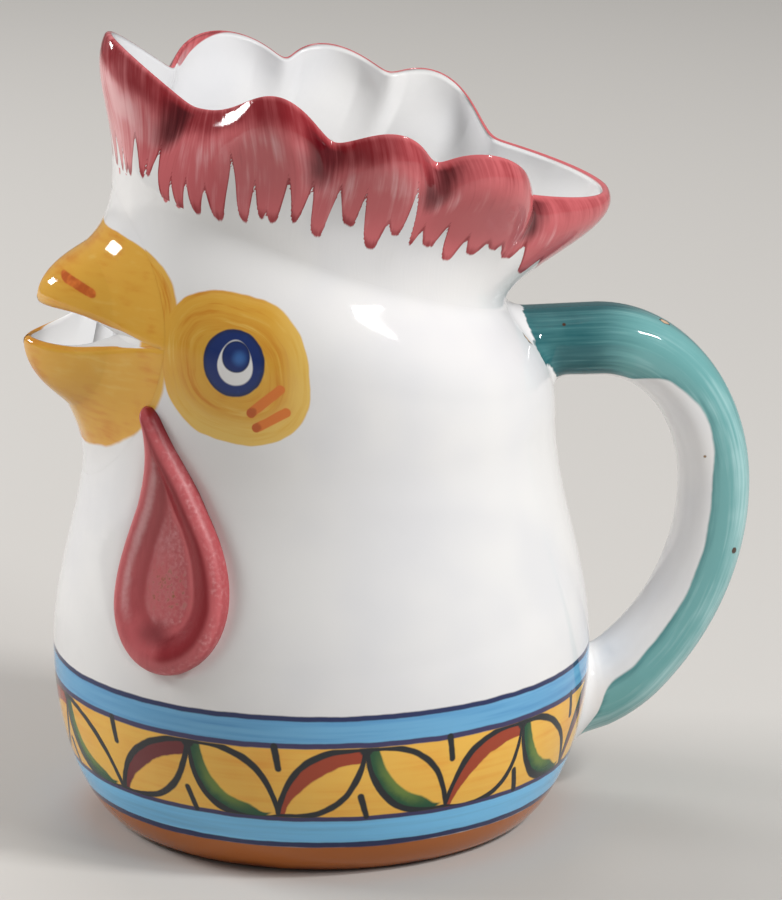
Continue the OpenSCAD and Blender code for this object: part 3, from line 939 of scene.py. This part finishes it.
class Glaze:
    """A glazed surface, on which colours are brushed one over another."""

    def __init__(self, name):
        self.material = bpy.data.materials.new(name)
        self.material.use_nodes = True
        self.tree = self.material.node_tree
        self.shader = self.tree.nodes["Principled BSDF"]
        coordinates = self.tree.nodes.new("ShaderNodeTexCoord")
        self.place = self.stretched(coordinates.outputs["Object"], (1 / MM,) * 3)
        self.x, self.y, self.z = self.split(self.place)
        across, along, _ = self.split(coordinates.outputs["Normal"])
        self.shown = (across * self.x + along * self.y).over(-1.0, 1.0)
        turn = (self.y * -1.0).apply("ARCTAN2", self.x * -1.0)
        self.front = turn * (180 / math.pi)
        self.side = abs(self.front)
        self.seed = 0.0
        self.colour = self.blend(WHITE, WHITE_COOL, self.noise(40).over(-0.3, 0.5))

    def stretched(self, vector, factors):
        node = self.tree.nodes.new("ShaderNodeVectorMath")
        node.operation = "MULTIPLY"
        feed(self.tree, node.inputs[0], vector)
        node.inputs[1].default_value = factors
        return node.outputs[0]

    def split(self, vector):
        node = self.tree.nodes.new("ShaderNodeSeparateXYZ")
        self.tree.links.new(vector, node.inputs[0])
        return [Field(self.tree, socket) for socket in node.outputs]

    def joined(self, x, y, z=0.0):
        """A vector made of three numbers or fields."""
        node = self.tree.nodes.new("ShaderNodeCombineXYZ")
        for entry, value in zip(node.inputs, (x, y, z)):
            feed(self.tree, entry, value)
        return node.outputs[0]

    def attribute(self, name):
        node = self.tree.nodes.new("ShaderNodeAttribute")
        node.attribute_name = name
        return Field(self.tree, node.outputs["Fac"])

    def noise(self, size, stretch=(1, 1, 1), detail=2.0, vector=None):
        """Smooth noise of -1 to 1, with patches of that size in mm along an unstretched axis."""
        self.seed += NOISE_STEP
        node = self.tree.nodes.new("ShaderNodeTexNoise")
        node.noise_dimensions = "4D"
        node.inputs["W"].default_value = self.seed
        node.inputs["Scale"].default_value = 1.0
        node.inputs["Detail"].default_value = detail
        factors = tuple(1 / (size * s) for s in stretch)
        feed(self.tree, node.inputs["Vector"], self.stretched(vector or self.place, factors))
        return (Field(self.tree, node.outputs["Fac"]) - 0.5) * 3.0

    def chance(self, number):
        """A number of 0 to 1 drawn anew for each whole number."""
        self.seed += CHANCE_STEP
        node = self.tree.nodes.new("ShaderNodeTexWhiteNoise")
        node.noise_dimensions = "1D"
        feed(self.tree, node.inputs["W"], number + self.seed)
        return Field(self.tree, node.outputs["Value"])

    def blend(self, first, second, share):
        """A colour between two colours."""
        node = self.tree.nodes.new("ShaderNodeMix")
        node.data_type = "RGBA"
        feed(self.tree, node.inputs["Factor"], share)
        feed(self.tree, colour_socket(node.inputs, "A"), first)
        feed(self.tree, colour_socket(node.inputs, "B"), second)
        return colour_socket(node.outputs, "Result")

    def brush(self, mask, colour):
        """Lays a colour over what is there, where the mask is 1."""
        self.colour = self.blend(self.colour, colour, mask)

    def paint(self, mask, colour):
        """Brushes a colour on the outside only."""
        self.brush(mask * self.shown, colour)

    def distance(self, spot):
        """Distance from a place in mm."""
        x, y, z = spot
        return length(length(self.x - x, self.y - y), self.z - z)

    def chip(self, spot, size):
        """Small chip in the glaze, with bare clay and a dark brim."""
        away = self.distance(spot) + self.noise(1.5) * size * 0.35
        self.brush(away.under(size, 0.2), SOOT)
        self.brush(away.under(size * 0.72, 0.2), CLAY)

    def fleck(self, spot, size, colour):
        """Speck of colour in the glaze."""
        self.brush((self.distance(spot) + self.noise(1.2) * size * 0.4).under(size, 0.2), colour)

    def finish(self, roughness=GLAZE_ROUGH, relief=None):
        """Fires the glaze: gloss with faint unevenness, and a relief in mm."""
        shader = self.shader
        feed(self.tree, shader.inputs["Base Color"], self.colour)
        gloss = self.noise(12).over(-1.2, 1.2)
        feed(self.tree, shader.inputs["Roughness"], gloss * GLOSS_CHANGE + roughness)
        shader.inputs["IOR"].default_value = GLAZE_IOR
        bump = self.tree.nodes.new("ShaderNodeBump")
        bump.inputs["Distance"].default_value = GLAZE_RELIEF * MM
        bump.inputs["Strength"].default_value = 1.0
        height = self.noise(9) * 0.5 + self.noise(2.2) * 0.06
        feed(self.tree, bump.inputs["Height"], height if relief is None else height + relief)
        self.tree.links.new(bump.outputs["Normal"], shader.inputs["Normal"])
        return self.material


# Belly paint: bands and a frieze of leaves
FRIEZE_LOW = 19.4
FRIEZE_HIGH = 38.7
TAN_BAND = (-1.0, 9.6)
LOW_NAVY = (9.4, 11.5)
LOW_BLUE = (11.2, 18.6)
LOW_PLUM = (18.0, FRIEZE_LOW)
GOLD_BAND = (FRIEZE_LOW - 0.6, FRIEZE_HIGH + 0.6)
HIGH_PLUM = (39.0, 40.5)
HIGH_BLUE = (40.0, 47.0)
TOP_NAVY = (46.6, 48.0)
FOOT_DARK = 2.5
FRIEZE_TURN = 40
FRIEZE_START = 31.7
FRIEZE_SWAY = 2.3
SWAY_MOST = 50
UNIT_HALF = 24.6
LEAF_RISE = FRIEZE_HIGH - FRIEZE_LOW
LEAF_CHORD = math.hypot(UNIT_HALF, LEAF_RISE)
LEAF_ACROSS = UNIT_HALF / LEAF_CHORD
LEAF_UP = LEAF_RISE / LEAF_CHORD
LEAF_LINE = 0.95
LEAF_TOP = 0.16
LEAF_TOP_MORE = 0.1
LEAF_LOW = 0.22
LEAF_LOW_MORE = 0.08
RED_BAND = 2.4
GREEN_BAND = 2.2
BAND_MORE = 2.6
PEAK_DOT = 1.9
TICK_HALF = 0.9
TOP_TICK = ((-0.4, 39.6), (0.6, 33.4))
LOW_TICK = ((0.6, 19.2), (-1.2, 25.2))


def paint_bands(glaze):
    """Blue bands, dark lines and the tan foot, with the lower blue band painted lighter as painted light."""
    streak = glaze.noise(1.6, (22, 22, 1), 3.0)
    sky = glaze.blend(SKY, SKY_DEEP, streak.over(-0.5, 1.2))
    # Lower blue band painted lighter: painted light for the downturned lower belly
    low_sky_painted_light = glaze.blend(SKY_LOW_PAINTED_LIGHT, SKY, streak.over(-0.5, 1.2))
    tan = glaze.blend(TAN, TAN_DARK, (glaze.noise(14) + (FOOT_DARK - glaze.z) * 0.5).over(-0.2, 1.6))
    gold = glaze.blend(FRIEZE, FRIEZE_DEEP, (streak + glaze.noise(16)).over(-0.6, 1.8))
    layers = (
        (TAN_BAND, tan), (LOW_NAVY, NAVY), (LOW_BLUE, low_sky_painted_light), (GOLD_BAND, gold),
        (HIGH_BLUE, sky), (LOW_PLUM, PLUM), (HIGH_PLUM, PLUM), (TOP_NAVY, NAVY))
    for band, colour in layers:
        height = glaze.z + glaze.noise(26) * 0.35 + glaze.noise(6) * 0.14
        glaze.paint(height.between(*band), colour)


def units_from(units, place):
    """Signed distance in mm from the nearest repeat of a place in the frieze."""
    turn = units - place + 0.5
    return (turn - turn.apply("FLOOR") - 0.5) * (2 * UNIT_HALF)


def paint_frieze(glaze):
    """Rising and falling leaves in a zigzag, with a red band on one and a green band on the other."""
    sway = ((glaze.front - SWAY_MOST) * (2 * math.pi / 180)).apply("COSINE") * FRIEZE_SWAY
    units = (glaze.front - sway - FRIEZE_START) / FRIEZE_TURN
    unit = units.apply("FLOOR")
    way = units - unit
    falling = (way - 0.5).over(-0.002, 0.002)
    leaf = unit * 2.0 + falling
    run = 1.0 - abs(way * 2.0 - 1.0)
    wobble = glaze.noise(9) * 0.4
    u = run * UNIT_HALF + wobble
    v = glaze.z - FRIEZE_LOW + glaze.noise(8) * 0.4
    along = (u * LEAF_ACROSS + v * LEAF_UP) / LEAF_CHORD
    across = v * LEAF_ACROSS - u * LEAF_UP
    bow = along * (1.0 - along) * (4 * LEAF_CHORD)
    upper = bow * (glaze.chance(leaf) * LEAF_TOP_MORE + LEAF_TOP)
    lower = bow * (glaze.chance(leaf) * LEAF_LOW_MORE + LEAF_LOW) * -1.0
    within = glaze.z.between(FRIEZE_LOW - 0.3, FRIEZE_HIGH + 0.3) * glaze.shown
    band = glaze.noise(3) * 0.25
    red = (upper - across).between(-0.2, along.over(0.0, 0.5) * BAND_MORE + RED_BAND + band, 0.3)
    red_colour = glaze.blend(BRICK, MAROON, glaze.chance(unit).over(0.6, 0.75))
    glaze.brush(red * (1.0 - falling) * within, red_colour)
    green = (across - lower).between(-0.2, along.over(0.1, 0.3) * BAND_MORE + GREEN_BAND + band, 0.4)
    middle = (across - lower + band * 3.0).over(1.0, 4.0) * along.between(0.3, 0.8, 0.2)
    glaze.brush(green * along.over(0.06, 0.1) * falling * within, glaze.blend(GREEN_DARK, GREEN, middle))
    pen = LEAF_LINE + glaze.noise(6) * 0.22
    lines = abs(across - upper).under(pen).most(abs(across - lower).under(pen))
    glaze.brush(lines * within, INK)
    peak = length((1.0 - run) * UNIT_HALF, glaze.z - FRIEZE_HIGH).under(PEAK_DOT, 0.4)
    glaze.brush(peak * within, INK)
    top_tick = dash(units_from(units, 0.0), glaze.z, *TOP_TICK)
    low_tick = dash(units_from(units, 0.5), glaze.z, *LOW_TICK)
    glaze.paint(top_tick.least(low_tick).under(TICK_HALF + glaze.noise(4) * 0.2), INK)


YELLOW_UP = (46.5, 25)
YELLOW_UP_ROUND = 3.5
YELLOW_DOWN = (44, 33)
YELLOW_DOWN_ROUND = 2.3
MOUTH_CLEAR = 2.5


def yellow_edge(glaze):
    """Less than 1 on the yellow round the beak, and more than 1 beyond it."""
    high = abs(glaze.z - MOUTH_Z)
    upper = oval(glaze.side / YELLOW_UP[0], high / YELLOW_UP[1], YELLOW_UP_ROUND)
    lower = oval(glaze.side / YELLOW_DOWN[0], high / YELLOW_DOWN[1], YELLOW_DOWN_ROUND)
    return upper + (lower - upper) * glaze.z.under(MOUTH_Z, 1.0) + glaze.noise(9) * 0.04


def behind_beak(glaze):
    """Less than 1 on the skin that the beak covers, and more than 1 beyond."""
    rise = (glaze.z - MOUTH_Z) / (UPPER_H - MOUTH_CLEAR)
    drop = (MOUTH_Z - glaze.z) / (LOWER_H - MOUTH_CLEAR)
    return length(glaze.y / (BEAK_W - MOUTH_CLEAR), rise.most(drop))


def paint_beak_yellow(glaze):
    """Yellow that runs from the beak over the skin round it."""
    edge = yellow_edge(glaze)
    front = (glaze.x * -1.0).over(-1.0, 1.0)
    patch = edge.under(1.0, 0.035) * glaze.shown * front * behind_beak(glaze).over(0.98, 1.02)
    rings = glaze.joined(edge * 24.0, glaze.side * 0.15, glaze.z * 0.15)
    streak = glaze.noise(1.2, vector=rings, detail=3.0)
    glaze.brush(patch, yellow_of(glaze, streak))
    glaze.brush(edge.between(0.86, 1.0, 0.06) * patch * 0.3, YELLOW_PALE)


def yellow_of(glaze, streak):
    """Brushed yellow, thin and thick."""
    thick = glaze.noise(13) * 0.8 + streak * 0.75
    deep = glaze.blend(YELLOW, YELLOW_DEEP, thick.over(-0.1, 1.0))
    return glaze.blend(deep, YELLOW_PALE, (thick * -1.0).over(0.2, 1.2))


def belly_glaze():
    """White with bands, the frieze and the beak's yellow."""
    glaze = Glaze("belly_glaze")
    paint_bands(glaze)
    paint_frieze(glaze)
    paint_beak_yellow(glaze)
    return glaze.finish()


# Head paint: the yellow of the beak, and the eyes, in degrees from the beak and in mm
EYE_ANGLE = 62.1
EYE_Z = 138.2
HEAD_SKIN_R = 62.4
HEAD_MM = math.pi * HEAD_SKIN_R / 180
PATCH_HALF = (20.7, 19.1)
PATCH_AT = (-0.9, -1.7)
PATCH_ROUND = 2.5
PATCH_SKEW = 0.25
NAVY_HALF = (8.45, 8.75)
EGG_HALF = (4.7, 5.9)
EGG_TAPER = -0.13
EGG_AT = (0.5, 0.15)
PUPIL_HALF = (3.8, 4.1)
PUPIL_AT = (0.7, 1.7)
PUPIL_BLUE_AT = (0.9, -0.3)
PUPIL_BLUE = 1.6
DASHES = (((4.7, -12.6), (12.3, -6.1)), ((6.0, -16.4), (13.8, -12.1)))
DASH_HALF = 1.25
DASH_BLOB = 1.4
# Tips of comb strokes that run down onto the head: angle from the beak, lowest height and half width
STROKE_TIPS = (
    (10.4, 178.4, 0.7), (15.8, 179.2, 0.6), (35.9, 175.4, 1.0), (40.9, 174.6, 1.5), (46.8, 174.4, 1.3))
TIP_LEAN = -3.0
TIP_RISE = 8.0
ROOT_CHIP = ((53.0, -15.4, 131.6), 2.2)
HEAD_FLECKS = (((-43.3, -29.2, 170.6), 1.0, FLECK), ((-30.6, -43.4, 172.5), 0.45, SOOT))


def paint_eye(glaze):
    """Eye on each side, in a yellow patch with two rust dashes behind it."""
    u = (glaze.side - EYE_ANGLE) * HEAD_MM + glaze.noise(8) * 0.2
    v = glaze.z - EYE_Z + glaze.noise(8) * 0.2
    aside, above = (u - PATCH_AT[0]) / PATCH_HALF[0], (v - PATCH_AT[1]) / PATCH_HALF[1]
    form = oval(aside, above, PATCH_ROUND) + aside * above * PATCH_SKEW
    ring = form.most(0.0) ** (1 / PATCH_ROUND) + glaze.noise(7) * 0.02
    rings = glaze.joined(ring * PATCH_HALF[1], u * 0.07, v * 0.07)
    streak = glaze.noise(1.0, vector=rings, detail=3.0)
    patch = ring.under(1.0, 0.015) * glaze.shown
    glaze.brush(patch, yellow_of(glaze, streak * 1.3))
    glaze.brush(ring.between(0.55, 0.72, 0.1) * (streak + 0.6).over(0.0, 1.0) * patch * 0.5, YELLOW_DEEP)
    glaze.brush(ring.between(0.93, 1.0, 0.04) * aside.over(-0.7, -0.3) * patch * 0.25, YELLOW_PALE)
    far_side = (above * -1.0).over(-0.1, 0.8).most(aside.over(0.45, 0.95))
    thin = far_side * ring.over(0.55, 0.8) * (streak + 0.9).over(0.0, 1.2)
    glaze.brush(thin * patch * 0.85, YELLOW_PALE)
    eye = length(u / NAVY_HALF[0], v / NAVY_HALF[1]) + glaze.noise(4) * 0.02
    blue = glaze.blend(EYE_NAVY, INK, eye.over(0.84, 1.02) * 0.6)
    blue = glaze.blend(blue, EYE_BLUE, glaze.noise(2.5).over(0.2, 1.4) * 0.5)
    glaze.paint(eye.under(1.0, 0.03), blue)
    egg_v = v - EGG_AT[1]
    egg = length((u - EGG_AT[0]) / (egg_v * EGG_TAPER + EGG_HALF[0]), egg_v / EGG_HALF[1])
    glaze.paint(egg.under(1.0, 0.05), WHITE)
    pupil_u, pupil_v = u - PUPIL_AT[0], v - PUPIL_AT[1]
    pupil = length(pupil_u / PUPIL_HALF[0], pupil_v / PUPIL_HALF[1])
    spot = length(pupil_u - PUPIL_BLUE_AT[0], pupil_v - PUPIL_BLUE_AT[1]).under(PUPIL_BLUE, 1.2)
    iris = glaze.blend(EYE_NAVY, INK, pupil.over(0.8, 1.05) * 0.6)
    glaze.paint(pupil.under(1.0, 0.06), glaze.blend(iris, EYE_BLUE, spot * 0.75))
    for start, end in DASHES:
        mark = dash(u, v, start, end).under(DASH_HALF + glaze.noise(4) * 0.15, 0.2)
        blob = length(u - start[0], v - start[1]).under(DASH_BLOB, 0.8)
        rust = glaze.blend(RUST, RUST_DARK, (blob + glaze.noise(3) * 0.5).over(0.2, 1.0))
        glaze.paint(mark, rust)


def head_glaze():
    """White with the beak's yellow, the eyes and a few tips of the comb's strokes."""
    glaze = Glaze("head_glaze")
    paint_beak_yellow(glaze)
    paint_eye(glaze)
    for angle, low, half in STROKE_TIPS:
        across = (glaze.side - angle) * HEAD_MM
        tip = dash(across, glaze.z, (0.0, low + half), (TIP_LEAN, low + TIP_RISE))
        glaze.paint(tip.under(half, 0.25), CRIMSON)
    glaze.chip(*ROOT_CHIP)
    for fleck in HEAD_FLECKS:
        glaze.fleck(*fleck)
    return glaze.finish()


# Comb paint: distances in mm below the lip, and lanes
LIP_PAINT = -0.6
BAND_LOW = 8.0
VALLEY_LOW = 17
RIM_LANES = (52, 68)
RIM_MORE = 4.0
BACK_LANES = (95, 125)
FRONT_LANE = 26


def comb_glaze():
    """Crimson brushed from the lip down, dark in a band under the lip, and near black in the valleys, partly
    pooled paint and partly painted shade.
    """
    glaze = Glaze("comb_glaze")
    painted, below, lane, valley = map(glaze.attribute, ("painted", "below", "lane", "valley"))
    strokes = glaze.joined(lane, below)
    fine = glaze.noise(0.9, (1, 16, 1), 3.0, strokes)
    broad = glaze.noise(4, (1, 6, 1), 2.0, strokes)
    patch = glaze.noise(8)
    wash = fine * 0.6 + broad * 0.75 + patch * 0.3
    back = lane.over(*BACK_LANES)
    front = lane.under(FRONT_LANE, 6.0)
    over_lip = below + lane.between(*RIM_LANES, 8.0) * RIM_MORE - LIP_PAINT
    mask = (painted + fine * 0.45).over(-0.3, 0.4) * over_lip.over(-0.3, 0.3)
    ragged = below + patch * 2.5 + broad * 1.5
    band = ragged.under(BAND_LOW, 3.5) * (1.0 - back * 0.55)
    # Lighter along the lip's crest: partly glaze running thin there, partly a painted highlight
    lip = below.under(1.0, 0.9)
    tip = painted.under(2.0, 1.6)
    under_band = ragged.between(BAND_LOW + 1.0, BAND_LOW + 8.0, 3.0)
    thin = (wash * -1.0) + under_band * 0.4 + front * 0.7 - back * 0.3
    crimson = glaze.blend(CRIMSON, CRIMSON_PALE, thin.over(0.0, 1.5) * (1.0 - band * 0.75))
    dark = band * 0.9 + tip * 0.7 + wash * 0.5 - lip * 0.5
    crimson = glaze.blend(crimson, CRIMSON_DARK, dark.over(0.1, 1.1))
    # Near black in the valleys: partly paint pooled there, partly painted shade
    pit = valley * (ragged + 2.0).under(VALLEY_LOW, 6.0) * below.over(0.5, 3.0)
    crimson = glaze.blend(crimson, CRIMSON_BLACK, (pit + wash * 0.2).over(0.35, 1.2))
    glaze.brush(mask, crimson)
    return glaze.finish(relief=wash * 0.3)


NOSTRIL = ((-68.2, 151.4), (-62.6, 149.2))
NOSTRIL_HALF = 1.25
CORNER_YELLOW = 0.5
LIP_YELLOW = 3.2
CORNER_REACH = (50, 64)


def beak_glaze():
    """Yellow outside and white inside, with a rust dash for each nostril."""
    glaze = Glaze("beak_glaze")
    inside = glaze.attribute("inside") + glaze.noise(5) * 0.2
    streak = glaze.noise(1.4, (6, 6, 1), 3.0)
    forward = (glaze.x * -1.0).over(*CORNER_REACH)
    lip = forward * (LIP_YELLOW - CORNER_YELLOW) + CORNER_YELLOW
    patch = yellow_edge(glaze).under(1.0, 0.035) * (inside - lip).under(0.0, 0.3)
    glaze.brush(patch, yellow_of(glaze, streak * 0.7))
    glaze.brush(inside.over(0.3, 1.2) * patch * 0.4, YELLOW_DEEP)
    nostril = dash(glaze.x, glaze.z, *NOSTRIL).under(NOSTRIL_HALF + glaze.noise(3) * 0.15, 0.25)
    rust = glaze.blend(RUST, RUST_DARK, (glaze.noise(3) + 0.6).over(0.0, 1.0))
    glaze.brush(nostril * inside.under(0.5, 0.1), rust)
    return glaze.finish()


# Wattle paint: distances in mm inward from the edge, and shares of the length from the top
WATTLE_ROUGH = 0.38
# Band of the left border's crest that carries a painted highlight, in mm inward from the edge
RIDGE = (4.2, 5.9)
RIDGE_END = 0.8
RIGHT_CREST = 2.4
RIGHT_WALL = (3.0, 8.0)
LEFT_WALL = (7.6, 10.4)
HOLLOW_FLOOR = (8.6, 10.2)
EDGE_DARK = 0.7
STEM_DARK = 0.1
PIT_SHARES = (0.8, 0.89)
SPECK_SHARES = (0.6, 0.75)


def wattle_glaze():
    """Crimson lobe with a pale left border, partly thin glaze and partly a painted highlight along its crest,
    dark walls and brown specks in the hollow.
    """
    glaze = Glaze("wattle_glaze")
    share, across, inward = map(glaze.attribute, ("share", "across", "inward"))
    streak = glaze.noise(1.0, (1, 1, 9), 3.0)
    patch = glaze.noise(7)
    grain = glaze.noise(1.1, detail=3.0)
    wash = streak * 0.4 + patch * 0.5
    left = across.under(0.0, 0.3)
    right = 1.0 - left
    # Pale along the left border's crest: partly thinner glaze, partly a painted highlight
    left_ridge_highlight = inward.between(*RIDGE, 1.6) * left * share.under(RIDGE_END, 0.12)
    crest = left_ridge_highlight * 0.95 + inward.under(RIGHT_CREST, 0.7) * right * 0.2
    floor = inward.over(*HOLLOW_FLOOR)
    pale = crest + wash * 0.3 + grain * (right * 0.3 + 0.1) + floor * 0.35
    tone = glaze.blend(CRIMSON, CRIMSON_DARK, (wash + 0.5).over(-0.4, 1.4) * 0.5)
    tone = glaze.blend(tone, CRIMSON_PALE, pale.over(0.1, 1.1))
    wall = inward.between(*RIGHT_WALL, 1.2) * right + inward.between(*LEFT_WALL, 1.4) * left * 0.4
    pit = share.between(*PIT_SHARES, 0.06) * abs(across + 0.1).under(0.3, 0.3)
    ends = inward.under(EDGE_DARK, 0.4) * 0.5 + share.under(STEM_DARK, 0.08) * 0.5
    dark = wall + ends - wash * 0.3
    tone = glaze.blend(tone, CRIMSON_DARK, dark.over(0.1, 1.05))
    tone = glaze.blend(tone, CRIMSON_BLACK, (pit - wash * 0.3).over(0.1, 1.0) * 0.55)
    middle = abs(across - 0.05).under(0.32, 0.2)
    speckle = share.between(*SPECK_SHARES, 0.04) * middle * grain.over(0.0, 0.6)
    glaze.colour = glaze.blend(tone, CRIMSON_BROWN, speckle * 0.85)
    return glaze.finish(WATTLE_ROUGH, relief=grain * 0.5)


# Handle paint: distances along the strap in mm
TEAL_START = 1.2
TEAL_BARE = -0.28
BROW_AT = 57
BROW_HALF = 14.0
BROW_BARE = 0.28
ARM_END = 36.0
ARM_MORE = 0.55
ARM_DARK_END = 25.0
GRIP_PALE = (40.0, 60.0)
TEAL_END = 140
TEAL_POINT = 12
HANDLE_CHIP = ((93.0, -2.6, 132.1), 1.7)
HANDLE_FLECKS = (
    ((111.6, -10.1, 69.3), 0.9, SOOT), ((64.2, -9.4, 133.8), 0.5, SOOT), ((102.7, -11.4, 96.4), 0.35, FLECK))


def handle_glaze():
    """Teal on the outside of the strap, all round near the head and to a point near the belly."""
    glaze = Glaze("handle_glaze")
    along, outer, aside = map(glaze.attribute, ("along", "outer", "aside"))
    lines = glaze.joined(along, outer * 10.0, aside * 10.0)
    streak = glaze.noise(0.9, (20, 1, 1), 3.0, lines)
    patch = glaze.noise(11)
    from_brow = ((along - BROW_AT) / BROW_HALF) ** 2.0
    brow = (from_brow * -1.0).apply("EXPONENT") * BROW_BARE
    arm = along.under(ARM_END, 6.0) * ARM_MORE
    point = ((along - TEAL_END).most(0.0) / TEAL_POINT) ** 3.0
    bare = brow + TEAL_BARE - arm + point * 1.1
    edge = outer - bare + glaze.noise(9) * 0.05
    start = along - abs(outer + 0.1) * 4.0 + glaze.noise(4) * 1.2
    mask = edge.over(-0.03, 0.05) * start.over(TEAL_START - 0.3, TEAL_START + 0.3)
    arm_dark = along.under(ARM_DARK_END, 11.0) * (patch * 0.3 + 0.8)
    wash = streak * 0.55 + patch * 0.35
    pale = wash + outer.between(0.25, 0.85, 0.25) * along.over(*GRIP_PALE) * 0.6
    teal = glaze.blend(TEAL, TEAL_PALE, pale.over(0.0, 1.1))
    dark = arm_dark * 1.2 - wash * 0.5 + edge.under(0.16, 0.14) * 0.5 + outer.over(0.9, 1.0) * 0.5
    teal = glaze.blend(teal, TEAL_DARK, dark.over(0.1, 1.2))
    glaze.brush(mask, teal)
    glaze.chip(*HANDLE_CHIP)
    for fleck in HANDLE_FLECKS:
        glaze.fleck(*fleck)
    return glaze.finish()


BARE_CLAY_TOP = FOOT_LIFT + 1.0
BASE_ROUGH = 0.3


def base_glaze():
    """White above, and bare clay on the underside."""
    glaze = Glaze("base_glaze")
    under = glaze.z.under(BARE_CLAY_TOP, 0.4)
    clay = glaze.blend(CLAY, TAN, glaze.noise(3, detail=4.0).over(0.4, 2.2))
    glaze.brush(under, clay)
    return glaze.finish(BASE_ROUGH)


# The pieces, each over its own solid
def dress(piece, node, material):
    """A piece that stands for a solid, with its material."""
    piece.data.materials.clear()
    piece.data.materials.append(material)
    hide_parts(node)


crimson_lobe = wattle_glaze()
yellow_beak = beak_glaze()
dress(make_base(), "base", base_glaze())
dress(make_belly(), "belly", belly_glaze())
dress(make_head(), "head", head_glaze())
dress(make_comb(), "comb", comb_glaze())
upper = make_beak("glazed_upper_beak", 1, UPPER_H, UPPER_FLARE, UPPER_OUT, UPPER_TIP_Z, UPPER_BOW)
lower = make_beak("glazed_lower_beak", -1, LOWER_H, LOWER_FLARE, LOWER_OUT, LOWER_TIP_Z, LOWER_BOW)
dress(upper, "upper_beak", yellow_beak)
dress(lower, "lower_beak", yellow_beak)
dress(wattle("glazed_left_wattle", 1), "left_wattle", crimson_lobe)
dress(wattle("glazed_right_wattle", -1), "right_wattle", crimson_lobe)
dress(make_handle(), "handle", handle_glaze())


# Floor, light and camera
FLOOR_SIZE = 6.0
FLOOR = screen(194, 191, 187)
FLOOR_ROUGH = 0.9
FLOOR_GLOSS = 0.1
STUDIO = screen(225, 224, 222)
STUDIO_LIGHT = 0.3
LAMP_DISTANCE = 1.6
LOOK_AT = Vector((0.019, 0.0, 0.0983))
CAMERA_AZIMUTH = -8
CAMERA_ELEVATION = 15.5
CAMERA_DISTANCE = 1.3
SENSOR = 36.0
PHOTO_HEIGHT = 900
FOCAL_PIXELS = 4832
NEAREST = 0.05
FARTHEST = 20


def make_floor():
    """Plain pale floor."""
    bpy.ops.mesh.primitive_plane_add(size=FLOOR_SIZE)
    floor = bpy.context.object
    floor.name = "floor"
    material = bpy.data.materials.new("floor_paper")
    material.use_nodes = True
    shader = material.node_tree.nodes["Principled BSDF"]
    shader.inputs["Base Color"].default_value = FLOOR
    shader.inputs["Roughness"].default_value = FLOOR_ROUGH
    shader.inputs["Specular IOR Level"].default_value = FLOOR_GLOSS
    floor.data.materials.append(material)


def direction(azimuth, elevation):
    """Way from the object toward a viewer, as the camera's angles are counted."""
    a, e = math.radians(azimuth), math.radians(elevation)
    return Vector((math.sin(a) * math.cos(e), -math.cos(a) * math.cos(e), math.sin(e)))


def aimed(name, data, azimuth, elevation, distance, tilt=0):
    """A lamp or camera at a distance from the pitcher, which it faces."""
    way = direction(azimuth, elevation)
    holder = bpy.data.objects.new(name, data)
    holder.location = LOOK_AT + way * distance
    holder.rotation_mode = "QUATERNION"
    holder.rotation_quaternion = way.to_track_quat("Z", "Y") @ Quaternion((0, 0, 1), math.radians(tilt))
    bpy.context.scene.collection.objects.link(holder)
    return holder


def softbox(name, azimuth, elevation, size, power, mirrored=False, tilt=0):
    """Rectangular lamp that faces the pitcher, and shows in its gloss where mirrored."""
    lamp = bpy.data.lights.new(name, "AREA")
    lamp.shape = "RECTANGLE"
    lamp.size, lamp.size_y = size
    lamp.energy = power
    aimed(name, lamp, azimuth, elevation, LAMP_DISTANCE, tilt).visible_glossy = mirrored


def make_camera():
    """Camera of the photo."""
    data = bpy.data.cameras.new("camera")
    data.sensor_fit = "VERTICAL"
    data.sensor_height = SENSOR
    data.lens = FOCAL_PIXELS * SENSOR / PHOTO_HEIGHT
    data.clip_start = NEAREST
    data.clip_end = FARTHEST
    bpy.context.scene.camera = aimed("camera", data, CAMERA_AZIMUTH, CAMERA_ELEVATION, CAMERA_DISTANCE)


def make_world():
    """Pale light from all round."""
    world = bpy.data.worlds.new("studio")
    world.use_nodes = True
    background = world.node_tree.nodes["Background"]
    background.inputs["Color"].default_value = STUDIO
    background.inputs["Strength"].default_value = STUDIO_LIGHT
    bpy.context.scene.world = world


make_floor()
make_world()
softbox("key_light", 56, 43.5, (0.36, 0.06), 10.5, mirrored=True, tilt=-30)
softbox("right_light", 48, 38, (0.7, 0.5), 11.5)
softbox("left_light", -112, 30, (0.7, 0.5), 13.5)
softbox("left_gleam", -128, 17, (0.3, 0.2), 4.5, mirrored=True)
softbox("back_light", 180, 45, (0.9, 0.6), 7.2)
make_camera()
bpy.context.scene.view_settings.view_transform = "Standard"
